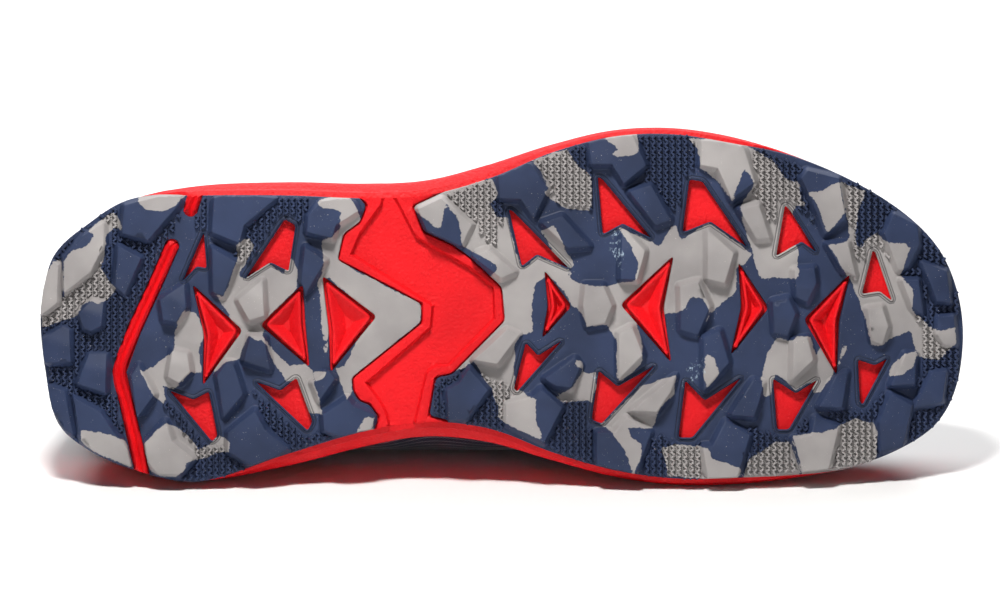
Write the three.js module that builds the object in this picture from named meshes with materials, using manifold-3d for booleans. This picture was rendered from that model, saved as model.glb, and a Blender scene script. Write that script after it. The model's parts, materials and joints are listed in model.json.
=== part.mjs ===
// Trail running shoe for the right foot, lying on its inner side. Millimetres, +Z up.
import * as THREE from 'three';
import { ConvexHull } from 'three/addons/math/ConvexHull.js';
import { mergeVertices } from 'three/addons/utils/BufferGeometryUtils.js';
import Module from 'manifold-3d';

const wasm = await Module();
wasm.setup();

// Driving sizes of the last and the sole
const soleLength = 300;
const ballWidth = 116;
const collarHeight = 101;
const heelFloor = 26;
const foreFloor = 18.5;
const rimHeight = 36;
const toeSpring = 14;
const heelBevel = 5;

// Tread and rubber
const lugHeight = 4;
const lugDraft = 1.1;
const lugRoot = 0.9;
const rubberPlate = 2;
const lipWidth = 4.5;
const skirtHeight = 11;
const skirtLean = 2;
const grooveWidth = 4.8;
const podProud = 0.8;
const podValley = 3;
const podMargin = 1.3;
const archDepth = 2.6;

// Midsole cup
const rimWidth = 3.2;
const rimLean = 4.2;
const wallLean = 0.8;
const flareShare = 0.14;
const wallShare = 0.45;
const cupSlope = 0.8;

// Upper and what is sewn or bonded to it
const wall = 2.2;
const collarPad = 5;
const swellSize = 10;
const overlay = 0.9;
const capLength = 42;
const counterLength = 62;
const counterTop = 74;
const stayWidth = 17;
const stayEdge = 1.5;
const eyeletPairs = 6;
const eyeletRadius = 2.2;
const eyeletInset = 9;
const eyeletSides = 6;

// Tongue, insole and lace
const tongueThickness = 4.5;
const tongueRise = 22;
const insoleThickness = 4;
const laceWidth = 6.5;
const laceThickness = 1.5;
const laceLift = 1;

const clearance = 0.3;
const seat = 0.4;

// The sole's chart has this many squares from heel to toe and across the ball
const chartLong = 930;
const chartWide = 360;

const table = (columns, rows) =>
  rows.map((row) => Object.fromEntries(columns.map((name, i) => [name, row[i]])));

// Sections of the sole. Along is a share of the sole's length, lateral and medial of the ball's
// width, lip of the lip's width, skirt of the skirt's height, rim of the rim's height and lean of
// the rim's lean.
const soleRows = table(['along', 'lateral', 'medial', 'lip', 'skirt', 'rim', 'lean'], [
  [0.000, -0.010, -0.010, 0.0, 1.0, 1.10, 0.6],
  [0.005, -0.120, 0.121, 0.0, 1.0, 1.10, 0.6],
  [0.017, -0.202, 0.263, 0.0, 0.9, 1.08, 0.7],
  [0.047, -0.272, 0.340, 0.1, 0.6, 1.06, 0.8],
  [0.100, -0.352, 0.402, 0.5, 0.2, 1.03, 0.9],
  [0.173, -0.390, 0.436, 0.9, 0.0, 1.00, 1.0],
  [0.267, -0.400, 0.395, 1.0, 0.0, 0.98, 0.8],
  [0.350, -0.396, 0.341, 1.1, 0.0, 0.95, 0.3],
  [0.417, -0.405, 0.313, 1.1, 0.0, 0.91, 0.0],
  [0.483, -0.448, 0.328, 1.0, 0.0, 0.87, 0.1],
  [0.550, -0.503, 0.377, 0.6, 0.0, 0.83, 0.6],
  [0.617, -0.544, 0.423, 0.5, 0.0, 0.80, 1.0],
  [0.683, -0.551, 0.447, 0.5, 0.0, 0.78, 1.0],
  [0.750, -0.525, 0.446, 0.5, 0.0, 0.76, 1.0],
  [0.817, -0.472, 0.428, 0.4, 0.1, 0.74, 0.9],
  [0.883, -0.396, 0.396, 0.1, 0.3, 0.70, 0.8],
  [0.937, -0.308, 0.338, 0.0, 0.6, 0.66, 0.7],
  [0.973, -0.213, 0.269, 0.0, 0.8, 0.63, 0.6],
  [0.993, -0.099, 0.168, 0.0, 0.9, 0.61, 0.6],
  [1.000, 0.030, 0.030, 0.0, 1.0, 0.60, 0.6],
]);

// The upper's top line, a row for each row above: where the wall that starts there ends. Along is
// a share of the sole's length, ridge and gap of the ball's width, height of the collar's height,
// pad of the collar's padding and the swells of the swell's size. Round is 0 where the wall ends
// upright and 1 where it ends level.
const topRows = table(
  ['along', 'ridge', 'gap', 'height', 'round', 'pad', 'swellLateral', 'swellMedial'], [
    [0.030, 0.010, 0.000, 1.00, 0.12, 0.9, 0.50, 0.50],
    [0.036, 0.010, 0.088, 1.00, 0.12, 0.9, 0.50, 0.50],
    [0.050, 0.010, 0.158, 0.985, 0.12, 0.9, 0.50, 0.50],
    [0.082, 0.008, 0.205, 0.94, 0.12, 1.0, 0.50, 0.50],
    [0.128, 0.006, 0.238, 0.87, 0.12, 1.0, 0.50, 0.50],
    [0.190, 0.004, 0.255, 0.83, 0.12, 1.0, 0.50, 0.40],
    [0.265, 0.000, 0.245, 0.85, 0.15, 1.0, 0.60, 1.00],
    [0.333, -0.005, 0.215, 0.94, 0.20, 0.7, 0.70, 2.00],
    [0.385, -0.010, 0.172, 1.03, 0.35, 0.2, 0.70, 2.40],
    [0.447, -0.015, 0.146, 0.95, 0.50, 0.0, 0.60, 2.10],
    [0.513, -0.018, 0.132, 0.86, 0.60, 0.0, 0.60, 1.30],
    [0.583, -0.020, 0.120, 0.77, 0.70, 0.0, 0.50, 0.70],
    [0.653, -0.018, 0.095, 0.695, 0.85, 0.0, 0.50, 0.50],
    [0.713, -0.012, 0.000, 0.635, 1.00, 0.0, 0.50, 0.50],
    [0.775, -0.004, 0.000, 0.600, 1.00, 0.0, 0.45, 0.45],
    [0.827, 0.006, 0.000, 0.580, 1.00, 0.0, 0.40, 0.40],
    [0.862, 0.014, 0.000, 0.570, 1.00, 0.0, 0.30, 0.30],
    [0.882, 0.020, 0.000, 0.563, 1.00, 0.0, 0.20, 0.20],
    [0.894, 0.026, 0.000, 0.558, 1.00, 0.0, 0.20, 0.20],
    [0.900, 0.030, 0.000, 0.555, 1.00, 0.0, 0.20, 0.20],
  ]);

// Lugs on the chart: centre along and across, length, width, turn in degrees, and the widths of
// head and tail as shares of the width.
const lugColumns = ['along', 'across', 'length', 'width', 'turn', 'head', 'tail'];
const heelLugs = table(lugColumns, [
  [45, -69, 78, 34, -57, 0.8, 0.25],
  [10, -37, 54, 18, -83, 1, 0.1],
  [109, -113, 54, 40, -15, 1, 0.15],
  [87, -55, 46, 25, -72, 0.4, 0.1],
  [54, -10, 30, 22, -65, 0.7, 0.3],
  [17, 21, 34, 29, -90, 1, 0.2],
  [57, 47, 38, 28, 100, 0.62, 0.1],
  [22, 84, 48, 20, 68, 0.9, 0.2],
  [64, 108, 74, 38, 52, 0.7, 0.1],
  [104, 67, 50, 20, 80, 0.45, 0.45],
  [130, 127, 50, 42, 35, 0.8, 0.3],
  [135, -21, 38, 24, -70, 0.5, 0.25],
  [141, 42, 31, 20, 92, 0.8, 0.4],
  [202, -111, 64, 40, -20, 0.9, 0.5],
  [183, -52, 46, 24, -75, 0.45, 0.1],
  [216, -24, 40, 23, -75, 0.6, 0.3],
  [290, -111, 52, 34, -22, 0.85, 0.35],
  [272, -55, 46, 20, -68, 0.3, 0.25],
  [219, 27, 32, 26, 88, 0.55, 0.1],
  [191, 65, 54, 24, 82, 0.3, 0.5],
  [216, 116, 56, 46, 20, 0.75, 0.4],
  [285, 59, 30, 18, 120, 0.7, 0.3],
  [310, 93, 52, 32, 10, 0.7, 0.3],
]);
const forefootLugs = table(lugColumns, [
  [406, -104, 58, 34, 32, 0.8, 0.15],
  [457, -61, 42, 18, 38, 1, 0.1],
  [486, -138, 52, 36, 58, 0.8, 0.5],
  [529, -91, 42, 22, 40, 0.9, 0.1],
  [580, -171, 58, 38, 40, 0.75, 0.3],
  [614, -120, 40, 20, 60, 1, 0.1],
  [593, -69, 50, 24, 95, 0.35, 0.3],
  [691, -160, 60, 40, 48, 0.8, 0.35],
  [719, -103, 36, 19, 68, 1, 0.1],
  [788, -125, 60, 36, 62, 0.8, 0.35],
  [806, -68, 34, 19, 68, 1, 0.3],
  [680, -66, 52, 25, 85, 0.2, 0.2],
  [656, -17, 52, 27, 88, 0.6, 0.35],
  [559, -19, 42, 28, 92, 0.65, 0.35],
  [590, 26, 52, 24, 95, 0.5, 0.55],
  [528, 49, 38, 22, -30, 0.6, 0.2],
  [676, 34, 58, 24, 95, 0.6, 0.5],
  [746, -8, 38, 22, 90, 0.7, 0.3],
  [765, 33, 42, 20, 98, 0.7, 0.5],
  [841, 1, 38, 20, 86, 0.75, 0.35],
  [711, 75, 42, 24, -60, 1, 0.1],
  [584, 124, 50, 44, -70, 0.9, 0.35],
  [620, 72, 50, 24, -38, 0.9, 0.4],
  [688, 129, 56, 38, -75, 0.85, 0.4],
  [780, 124, 56, 36, -78, 0.75, 0.35],
  [800, 68, 36, 22, -75, 1, 0.1],
  [871, 46, 34, 22, -75, 1, 0.1],
  [858, 101, 56, 28, -82, 0.8, 0.35],
  [898, 65, 38, 24, -72, 1, 0.1],
  [867, -85, 54, 32, 65, 0.75, 0.3],
  [905, -41, 40, 22, 62, 0.9, 0.1],
  [877, -31, 34, 18, 72, 1, 0.3],
  [912, 5, 28, 19, 88, 0.9, 0.2],
  [768, -41, 32, 21, 92, 0.8, 0.35],
  [428, 73, 52, 38, -55, 0.75, 0.4],
  [461, 22, 48, 24, -38, 1, 0.15],
  [494, 91, 52, 40, -35, 0.8, 0.3],
]);

// Arrow windows in the rubber: tip, first barb, notch and second barb on the chart, and how far
// the tip is cut back along both edges.
const windowColumns = ['tip', 'barb', 'notch', 'otherBarb', 'blunt'];
const heelWindows = table(windowColumns, [
  [[165, -93], [144, -44], [158, -59], [168, -57], 1],
  [[252, -101], [207, -47], [232, -63], [250, -54], 8],
  [[176, 115], [131, 66], [155, 75], [170, 67], 6],
  [[271, 103], [217, 57], [242, 66], [258, 53], 6],
]);
const forefootWindows = table(windowColumns, [
  [[472, -115], [484, -59], [499, -71], [531, -57], 3],
  [[562, -147], [565, -91], [585, -102], [614, -87], 4],
  [[659, -145], [645, -93], [673, -104], [710, -78], 12],
  [[750, -119], [739, -69], [765, -84], [780, -73], 3],
  [[838, -73], [826, -31], [844, -34], [857, -24], 3],
  [[478, 65], [488, 18], [500, 31], [524, 16], 4],
  [[559, 96], [561, 46], [580, 62], [617, 41], 10],
  [[648, 113], [648, 56], [667, 76], [704, 53], 13],
  [[746, 104], [736, 54], [759, 69], [781, 55], 11],
  [[825, 79], [822, 35], [839, 41], [852, 34], 2],
]);

// Raised kite pods of the midsole: top corner, outer tip, bottom corner and notch on the chart.
const podColumns = ['top', 'tip', 'bottom', 'notch'];
const heelPods = table(podColumns, [
  [[157, -35], [199, 6], [166, 55], [163, 13]],
  [[262, -35], [227, 0], [268, 37], [263, 0]],
  [[287, -44], [333, -8], [294, 42], [294, 3]],
]);
const forefootPods = table(podColumns, [
  [[509, -49], [529, -19], [507, 8], [507, -17]],
  [[633, -64], [588, -20], [631, 32], [627, -17]],
  [[703, -57], [727, -17], [696, 25], [701, -18]],
  [[810, -47], [772, -5], [800, 46], [803, -3]],
]);

// Edges on the chart: the front of the heel rubber, the back of the forefoot rubber, the sunk
// panel of the arch, and the two ribs of midsole that run through the heel rubber.
const heelFront = [
  [312, -220], [312, -139], [320, -128], [328, -120], [321, -103], [305, -92], [299, -65],
  [383, -21], [383, -3], [313, 53], [315, 68], [321, 77], [331, 80], [340, 93], [336, 105],
  [308, 114], [302, 135], [302, 220],
];
const forefootBack = [
  [407, -220], [407, -134], [375, -119], [386, -94], [414, -81], [431, -69], [464, -38],
  [467, -4], [414, 50], [398, 53], [391, 91], [409, 95], [422, 125], [422, 220],
];
const archPanel = [
  [357, -170], [357, -129], [377, -90], [386, -84], [431, -59], [456, -38], [457, -6], [411, 41],
  [396, 42], [389, 48], [377, 99], [377, 160], [350, 160], [350, 99], [346, 85], [339, 74],
  [327, 58], [392, 2], [394, -19], [312, -71], [321, -92], [343, -122], [344, -170],
];
const heelGroove = [[135, -86], [80, 47], [102, 143], [112, 210]];
const heelNotch = [[166, -200], [161, -145], [151, -110]];

// Chart squares to the shoe's own frame
const chart = ([along, across]) =>
  new THREE.Vector2(along * soleLength / chartLong, across * ballWidth / chartWide);

// Heights above the tread plane
const springStart = 0.683 * soleLength;
const bevelStart = 0.127 * soleLength;
function treadZ(x) {
  if (x > springStart) return toeSpring * ((x - springStart) / (soleLength - springStart)) ** 2;
  if (x < bevelStart) return heelBevel * ((bevelStart - x) / bevelStart) ** 2;
  return 0;
}
const faceZ = (x) => treadZ(x) + lugHeight;
const plateZ = (x) => faceZ(x) + rubberPlate;
function floorZ(x) {
  const slope = THREE.MathUtils.smoothstep(x, 0.2 * soleLength, 0.68 * soleLength);
  return Math.max(0, treadZ(x) - treadZ(0)) + THREE.MathUtils.lerp(heelFloor, foreFloor, slope);
}

// A column of a table as a closed ring: forward on the lateral side, then back on the medial
const lastRow = soleRows.length - 1;
const turn = 2 * lastRow;
function ringOf(rows, lateral, medial = lateral) {
  return [...rows.map(lateral), ...rows.slice(1, -1).reverse().map(medial)];
}
function sampleRing(ring, s) {
  const i = Math.floor(s);
  const f = s - i;
  const [a, b, c, d] = [-1, 0, 1, 2].map((step) => ring[(i + step + 2 * turn) % turn]);
  return b + 0.5 * f * (c - a + f * (2 * a - 5 * b + 4 * c - d + f * (3 * (b - c) + d - a)));
}
const rings = {
  x: ringOf(soleRows, (row) => row.along * soleLength),
  y: ringOf(soleRows, (row) => row.lateral * ballWidth, (row) => row.medial * ballWidth),
  lip: ringOf(soleRows, (row) => row.lip * lipWidth),
  skirt: ringOf(soleRows, (row) => row.skirt * skirtHeight),
  rim: ringOf(soleRows, (row) => row.rim * rimHeight),
  lean: ringOf(soleRows, (row) => row.lean * rimLean),
  topX: ringOf(topRows, (row) => row.along * soleLength),
  ridge: ringOf(topRows, (row) => row.ridge * ballWidth),
  gap: ringOf(topRows, (row) => -row.gap * ballWidth, (row) => row.gap * ballWidth),
  topZ: ringOf(topRows, (row) => row.height * collarHeight),
  round: ringOf(topRows, (row) => row.round),
  pad: ringOf(topRows, (row) => row.pad * collarPad),
  swell: ringOf(topRows, (row) => row.swellLateral * swellSize, (row) => row.swellMedial * swellSize),
};
const at = (name, s) => sampleRing(rings[name], ((s % turn) + turn) % turn);

// The sole's outline at ring place s, moved inwards by a distance
const tangentStep = 0.05;
function edgePoint(s, inset, z) {
  const dx = at('x', s + tangentStep) - at('x', s - tangentStep);
  const dy = at('y', s + tangentStep) - at('y', s - tangentStep);
  const length = Math.hypot(dx, dy);
  return new THREE.Vector3(at('x', s) - inset * dy / length, at('y', s) + inset * dx / length, z);
}

// Ring places: half steps round the heel and the toe, whole steps along the sides
const heelBend = 5;
const toeBend = 13;
const forwardPlaces = Array.from({ length: 2 * lastRow + 1 }, (_, k) => k / 2)
  .filter((s) => Number.isInteger(s) || s < heelBend || s > toeBend);
const ringPlaces = [...forwardPlaces, ...forwardPlaces.slice(1, -1).reverse().map((s) => turn - s)];
const level = (make) => ringPlaces.map((s) => make(s));

// Solids from points and faces, and between two closed outlines
function solid(points, faces) {
  const seen = new Map();
  const coords = [];
  const welded = points.map((p) => {
    const key = [p.x, p.y, p.z].map((v) => v.toFixed(4)).join();
    if (!seen.has(key)) {
      seen.set(key, coords.length / 3);
      coords.push(p.x, p.y, p.z);
    }
    return seen.get(key);
  });
  const triangles = faces
    .map((face) => face.map((i) => welded[i]))
    .filter(([a, b, c]) => a !== b && b !== c && c !== a);
  return new wasm.Manifold(new wasm.Mesh({
    numProp: 3,
    vertProperties: Float32Array.from(coords),
    triVerts: Uint32Array.from(triangles.flat()),
  }));
}

// A cap of rungs between the lateral and medial points of one ring
function ladder(start, count, facesUp) {
  const faces = [];
  for (let k = 0; k < count / 2; k++) {
    const [a, b, c, d] = [k, k + 1, count - k - 1, (count - k) % count].map((i) => start + i);
    faces.push(facesUp ? [a, b, c] : [c, b, a], facesUp ? [a, c, d] : [d, c, a]);
  }
  return faces;
}

function wallFaces(levels, start = 0, flip = false) {
  const count = levels[0].length;
  const faces = [];
  for (let j = 0; j + 1 < levels.length; j++) {
    for (let k = 0; k < count; k++) {
      const a = start + j * count + k;
      const b = start + j * count + (k + 1) % count;
      const pair = [[a, b, b + count], [a, b + count, a + count]];
      faces.push(...(flip ? pair.map((face) => [...face].reverse()) : pair));
    }
  }
  return faces;
}

function ringLoft(levels) {
  const count = levels[0].length;
  const topStart = (levels.length - 1) * count;
  const faces = [...wallFaces(levels), ...ladder(0, count, false), ...ladder(topStart, count, true)];
  return solid(levels.flat(), faces);
}

// A solid between two outlines of as many points, running round the same way, bottom first
function between(bottom, top) {
  const count = bottom.length;
  const flat = THREE.ShapeUtils.triangulateShape(bottom.map((p) => new THREE.Vector2(p.x, p.y)), []);
  const faces = [
    ...wallFaces([bottom, top]),
    ...flat.map((face) => [...face].reverse()),
    ...flat.map((face) => face.map((i) => i + count)),
  ];
  return solid([...bottom, ...top], faces);
}

function anticlockwise(points) {
  return THREE.ShapeUtils.isClockWise(points) ? [...points].reverse() : points;
}
function prism(points, low, high) {
  const outline = anticlockwise(points);
  const lift = (z) => outline.map((p) => new THREE.Vector3(p.x, p.y, z));
  return between(lift(low), lift(high));
}

// An outline moved outwards by a distance, with its corners kept sharp
function grow(points, distance) {
  const outline = anticlockwise(points);
  return outline.map((p, i) => {
    const before = outline.at(i - 1);
    const after = outline[(i + 1) % outline.length];
    const first = p.clone().sub(before).normalize();
    const second = after.clone().sub(p).normalize();
    const out = new THREE.Vector2(first.y + second.y, -first.x - second.x).normalize();
    const share = Math.max(0.45, out.x * first.y - out.y * first.x);
    return p.clone().addScaledVector(out, distance / share);
  });
}

// A band of even width along a path, square at its ends
function band(path, width) {
  const sides = [1, -1].map((side) => path.map((p, i) => {
    const before = path[Math.max(0, i - 1)];
    const after = path[Math.min(path.length - 1, i + 1)];
    const run = after.clone().sub(before).normalize();
    return new THREE.Vector2(p.x - side * run.y * width / 2, p.y + side * run.x * width / 2);
  }));
  return [...sides[0], ...sides[1].reverse()];
}

const joinAll = (solids) => solids.reduce((sum, next) => sum.add(next));
// A cut can leave a crumb at a thin edge: the piece is the largest body
const largest = (cut) => cut.decompose().sort((one, other) => other.volume() - one.volume())[0];

// The sole as a whole: tread face, side wall, rim and cup
const farDown = -30;
const farUp = 160;
function soleForm() {
  const rimZ = (s) => treadZ(at('x', s)) + at('rim', s);
  const wallZ = (s, share) => THREE.MathUtils.lerp(plateZ(at('x', s)), rimZ(s), share);
  return ringLoft([
    level((s) => edgePoint(s, at('lip', s), faceZ(at('x', s)))),
    level((s) => edgePoint(s, at('lip', s), plateZ(at('x', s)) + clearance)),
    level((s) => edgePoint(s, 0, wallZ(s, flareShare))),
    level((s) => edgePoint(s, wallLean, wallZ(s, wallShare))),
    level((s) => edgePoint(s, at('lean', s), rimZ(s))),
    level((s) => edgePoint(s, at('lean', s) + rimWidth, rimZ(s))),
    level((s) => edgePoint(s, at('lean', s) + rimWidth + cupSlope, floorZ(at('x', s)))),
  ]);
}

// Where rubber may be: under the plate's top, and outside the sole's edge up to the skirt
function rubberZone(gap) {
  const plateTop = (s) => plateZ(at('x', s)) + gap;
  const skirtTop = (s) => plateTop(s) + Math.max(0.05, at('skirt', s));
  const skirtInset = (s) => rubberPlate + gap + skirtLean * Math.max(0, at('skirt', s)) / skirtHeight;
  const outside = -2 * lipWidth;
  return ringLoft([
    level((s) => edgePoint(s, outside, farDown)),
    level((s) => edgePoint(s, outside, skirtTop(s))),
    level((s) => edgePoint(s, skirtInset(s), skirtTop(s))),
    level((s) => edgePoint(s, rubberPlate + gap, plateTop(s))),
  ]);
}
function outlinePrism() {
  const inset = (s) => at('lip', s);
  return ringLoft([
    level((s) => edgePoint(s, inset(s), farDown)),
    level((s) => edgePoint(s, inset(s), plateZ(at('x', s)))),
  ]);
}

const farBack = -60;
const farAhead = 1.2 * chartLong;
const heelArea = [[farBack, 220], [farBack, -220], ...heelFront].map(chart);
const forefootArea = [[farAhead, -220], ...forefootBack, [farAhead, 220]].map(chart);

function lugOutline({ along, across, length, width, turn: degrees, head, tail }) {
  const angle = THREE.MathUtils.degToRad(degrees);
  const corners = [
    [-length / 2, -tail * width / 2], [0, -width / 2], [length / 2, -head * width / 2],
    [length / 2, head * width / 2], [0, width / 2], [-length / 2, tail * width / 2],
  ];
  return corners.map(([run, side]) => chart([
    along + run * Math.cos(angle) - side * Math.sin(angle),
    across + run * Math.sin(angle) + side * Math.cos(angle),
  ]));
}
function lug(row) {
  const tip = anticlockwise(lugOutline(row));
  const root = grow(tip, lugDraft);
  return between(
    tip.map((p) => new THREE.Vector3(p.x, p.y, treadZ(p.x))),
    root.map((p) => new THREE.Vector3(p.x, p.y, faceZ(p.x) + lugRoot)),
  );
}

function windowOutline({ tip, barb, notch, otherBarb, blunt }) {
  const [point, first, inner, second] = [tip, barb, notch, otherBarb].map((p) => new THREE.Vector2(...p));
  const towards = (end) => point.clone().addScaledVector(end.clone().sub(point).normalize(), blunt);
  return [towards(first), first, inner, second, towards(second)].map((p) => chart([p.x, p.y]));
}
const podOutline = ({ top, tip, bottom, notch }) => [top, tip, bottom, notch].map(chart);

// A kite pod stands proud of the rubber's face and is hollowed to a valley near its notch
function kitePod(row) {
  const outline = anticlockwise(podOutline(row));
  const root = grow(outline, podMargin / 4);
  const centre = chart(row.notch).lerp(chart(row.tip), 0.3);
  const count = outline.length;
  const points = [
    ...outline.map((p) => new THREE.Vector3(p.x, p.y, faceZ(p.x) - podProud)),
    ...root.map((p) => new THREE.Vector3(p.x, p.y, plateZ(p.x) + 2 * clearance)),
    new THREE.Vector3(centre.x, centre.y, faceZ(centre.x) - podProud + podValley),
    new THREE.Vector3(centre.x, centre.y, plateZ(centre.x) + podValley),
  ];
  const faces = outline.flatMap((_, i) => {
    const next = (i + 1) % count;
    return [
      [next, i, 2 * count],
      [i, next, count + next], [i, count + next, count + i],
      [count + i, count + next, 2 * count + 1],
    ];
  });
  return solid(points, faces);
}

function outsole(area, windows, pods, lugs, slots) {
  const plate = soleForm().intersect(rubberZone(0)).intersect(prism(area, farDown, farUp));
  const feet = joinAll(lugs.map(lug)).intersect(outlinePrism()).intersect(prism(area, farDown, farUp));
  const cuts = [
    ...windows.map((row) => prism(windowOutline(row), farDown, farUp)),
    ...pods.map((row) => prism(grow(podOutline(row), podMargin), farDown, farUp)),
    ...slots.map((path) => prism(band(path.map(chart), grooveWidth), farDown, farUp)),
  ];
  return largest(plate.add(feet).subtract(joinAll(cuts)));
}

function midsole() {
  const seats = [heelArea, forefootArea].map((area) => prism(grow(area, clearance), farDown, farUp));
  const rubberSeat = rubberZone(clearance).intersect(joinAll(seats));
  const panel = prism(archPanel.map(chart), farDown, faceZ(springStart) + archDepth);
  const ribs = [heelGroove, heelNotch].map((path) =>
    prism(band(path.map(chart), grooveWidth - 4 * clearance), farDown, farUp));
  const ribBody = soleForm().intersect(rubberZone(2 * clearance)).intersect(joinAll(ribs));
  const pods = joinAll([...heelPods, ...forefootPods].map(kitePod));
  return largest(soleForm().subtract(rubberSeat).add(ribBody).add(pods).subtract(panel));
}

// The skin of the upper at ring place s. From -1 to 0 it runs up inside the cup, and from 0 to 1
// on one curve to the top line.
const shoulder = 0.32;
const cupInset = (s) => at('lean', s) + rimWidth + cupSlope + clearance;
function skin(s, t) {
  const x = at('x', s);
  const rimTop = treadZ(x) + at('rim', s);
  const start = edgePoint(s, cupInset(s), rimTop + clearance);
  if (t < 0) {
    return edgePoint(s, cupInset(s), THREE.MathUtils.lerp(start.z, floorZ(x) + clearance, -t));
  }
  const side = s <= lastRow ? -1 : 1;
  const gap = side * Math.max(0, side * at('gap', s));
  const end = new THREE.Vector3(at('topX', s), at('ridge', s) + gap, at('topZ', s));
  const across = new THREE.Vector3(end.x - start.x, end.y - start.y, 0);
  const reach = start.distanceTo(end);
  const round = Math.min(1, at('round', s));
  const out = edgePoint(s, 0, 0).sub(edgePoint(s, 1, 0));
  const first = start.clone().addScaledVector(out, at('swell', s));
  first.z += shoulder * Math.abs(end.z - start.z);
  const inwards = across.normalize().multiplyScalar(round);
  const arrive = new THREE.Vector3(inwards.x, inwards.y, 1 - round).normalize();
  const second = end.clone().addScaledVector(arrive, -0.42 * reach);
  return new THREE.CubicBezierCurve3(start, first, second, end).getPoint(t);
}
function skinNormal(s, t) {
  const ds = skin(s + tangentStep, t).sub(skin(s - tangentStep, t));
  const low = Math.max(-1, t - tangentStep);
  const high = Math.min(1, t + tangentStep);
  return ds.cross(skin(s, high).sub(skin(s, low))).normalize();
}
// A point off the skin: outwards where the distance is positive
const offSkin = (s, t, distance) => skin(s, t).addScaledVector(skinNormal(s, t), distance);
const wallAt = (s, t) => wall + at('pad', s) * THREE.MathUtils.smoothstep(t, 0.5, 0.95);

const skinSteps = [-1, -0.02, 0.15, 0.36, 0.6, 0.82, 1];
const isOpen = (s) => Math.abs(skin(s, 1).y - at('ridge', s)) > 0.01;

// On the closed ridge of the vamp both sides share one point, straight under or over it
function skinLevel(t, distance) {
  return level((s) => {
    const depth = typeof distance === 'function' ? distance(s, t) : distance;
    if (t < 1 || isOpen(s)) return offSkin(s, t, depth);
    const both = offSkin(s, t, depth).add(offSkin(turn - s, t, depth)).multiplyScalar(0.5);
    return new THREE.Vector3(both.x, both.y, both.z);
  });
}

function eyeletPlaces() {
  return Array.from({ length: eyeletPairs }, (_, i) =>
    THREE.MathUtils.lerp(8.35, 12.25, i / (eyeletPairs - 1)));
}
// The share of the skin's curve that lies a distance down from the top line
function shareAt(s, distance) {
  let t = 1;
  while (t > 0 && skin(s, t).distanceTo(skin(s, 1)) < distance) t -= 0.01;
  return t;
}
function eyeletHole(s) {
  const t = shareAt(s, eyeletInset);
  const depth = 3 * wall;
  const hole = new THREE.CylinderGeometry(eyeletRadius, eyeletRadius, 2 * depth, eyeletSides);
  hole.applyQuaternion(new THREE.Quaternion().setFromUnitVectors(new THREE.Vector3(0, 1, 0), skinNormal(s, t)));
  hole.translate(...skin(s, t).toArray());
  return fromGeometry(hole);
}
function fromGeometry(geometry) {
  const bare = geometry.clone();
  bare.deleteAttribute('normal');
  bare.deleteAttribute('uv');
  const merged = mergeVertices(bare);
  return new wasm.Manifold(new wasm.Mesh({
    numProp: 3,
    vertProperties: Float32Array.from(merged.attributes.position.array),
    triVerts: Uint32Array.from(merged.index.array),
  }));
}
const eyeletHoles = () =>
  joinAll(eyeletPlaces().flatMap((s) => [eyeletHole(s), eyeletHole(turn - s)]));

// The upper's wall, thickened by a distance on both faces
function upperShell(extra) {
  const outer = skinSteps.map((t) => skinLevel(t, extra));
  const inner = skinSteps.map((t) => skinLevel(t, (s) => -wallAt(s, t) - extra));
  const count = ringPlaces.length;
  const innerStart = outer.length * count;
  const topOuter = innerStart - count;
  const topInner = 2 * innerStart - count;
  const faces = [...wallFaces(outer), ...wallFaces(inner, innerStart, true)];
  for (let k = 0; k < count; k++) {
    const next = (k + 1) % count;
    faces.push([innerStart + k, innerStart + next, next], [innerStart + k, next, k]);
    if (isOpen(ringPlaces[k]) || isOpen(ringPlaces[next])) {
      faces.push([topOuter + k, topOuter + next, topInner + next]);
      faces.push([topOuter + k, topInner + next, topInner + k]);
    }
  }
  return solid([...outer.flat(), ...inner.flat()], faces);
}
const upper = () => upperShell(0).subtract(eyeletHoles());

// A closed form over the whole upper, used to cut the overlays from
const upperForm = (distance) => ringLoft(skinSteps.map((t) => skinLevel(t, distance)));
const overlayShell = () => upperForm(seat + overlay).subtract(upperForm(seat));

// A side view outline pushed right through the shoe from one side to the other
function sideBlock(points) {
  const stand = new THREE.Matrix4().makeRotationX(Math.PI / 2).setPosition(0, ballWidth, 0);
  return prism(points.map(([x, z]) => new THREE.Vector2(x, z)), 0, 2 * ballWidth)
    .transform(stand.elements);
}
function belowRim() {
  const outside = -2 * lipWidth;
  const above = (s) => treadZ(at('x', s)) + at('rim', s) + 2 * clearance;
  return ringLoft([
    level((s) => edgePoint(s, outside, farDown)),
    level((s) => edgePoint(s, outside, above(s))),
    level((s) => edgePoint(s, cupInset(s), above(s))),
  ]);
}
function toeCap() {
  const capStart = soleLength - capLength;
  const block = sideBlock([
    [capStart + 12, 0], [2 * soleLength, 0], [2 * soleLength, farUp], [capStart - 6, farUp],
    [capStart - 6, collarHeight * 0.6], [capStart, collarHeight * 0.5],
  ]);
  return overlayShell().intersect(block).subtract(belowRim());
}
function heelCounter() {
  const block = sideBlock([
    [farBack, 0], [counterLength + 8, 0], [counterLength, counterTop * 0.68],
    [counterLength * 0.62, counterTop * 0.88], [0, counterTop], [farBack, counterTop],
  ]);
  return overlayShell().intersect(block).subtract(belowRim());
}
function topLine(from, to, distance) {
  return ringPlaces.filter((s) => s >= from && s <= to).map((s) => {
    const p = skin(s, 1);
    const out = skinNormal(s, 1).setZ(0).normalize();
    return new THREE.Vector2(p.x + out.x * distance, p.y + out.y * distance);
  });
}
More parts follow.
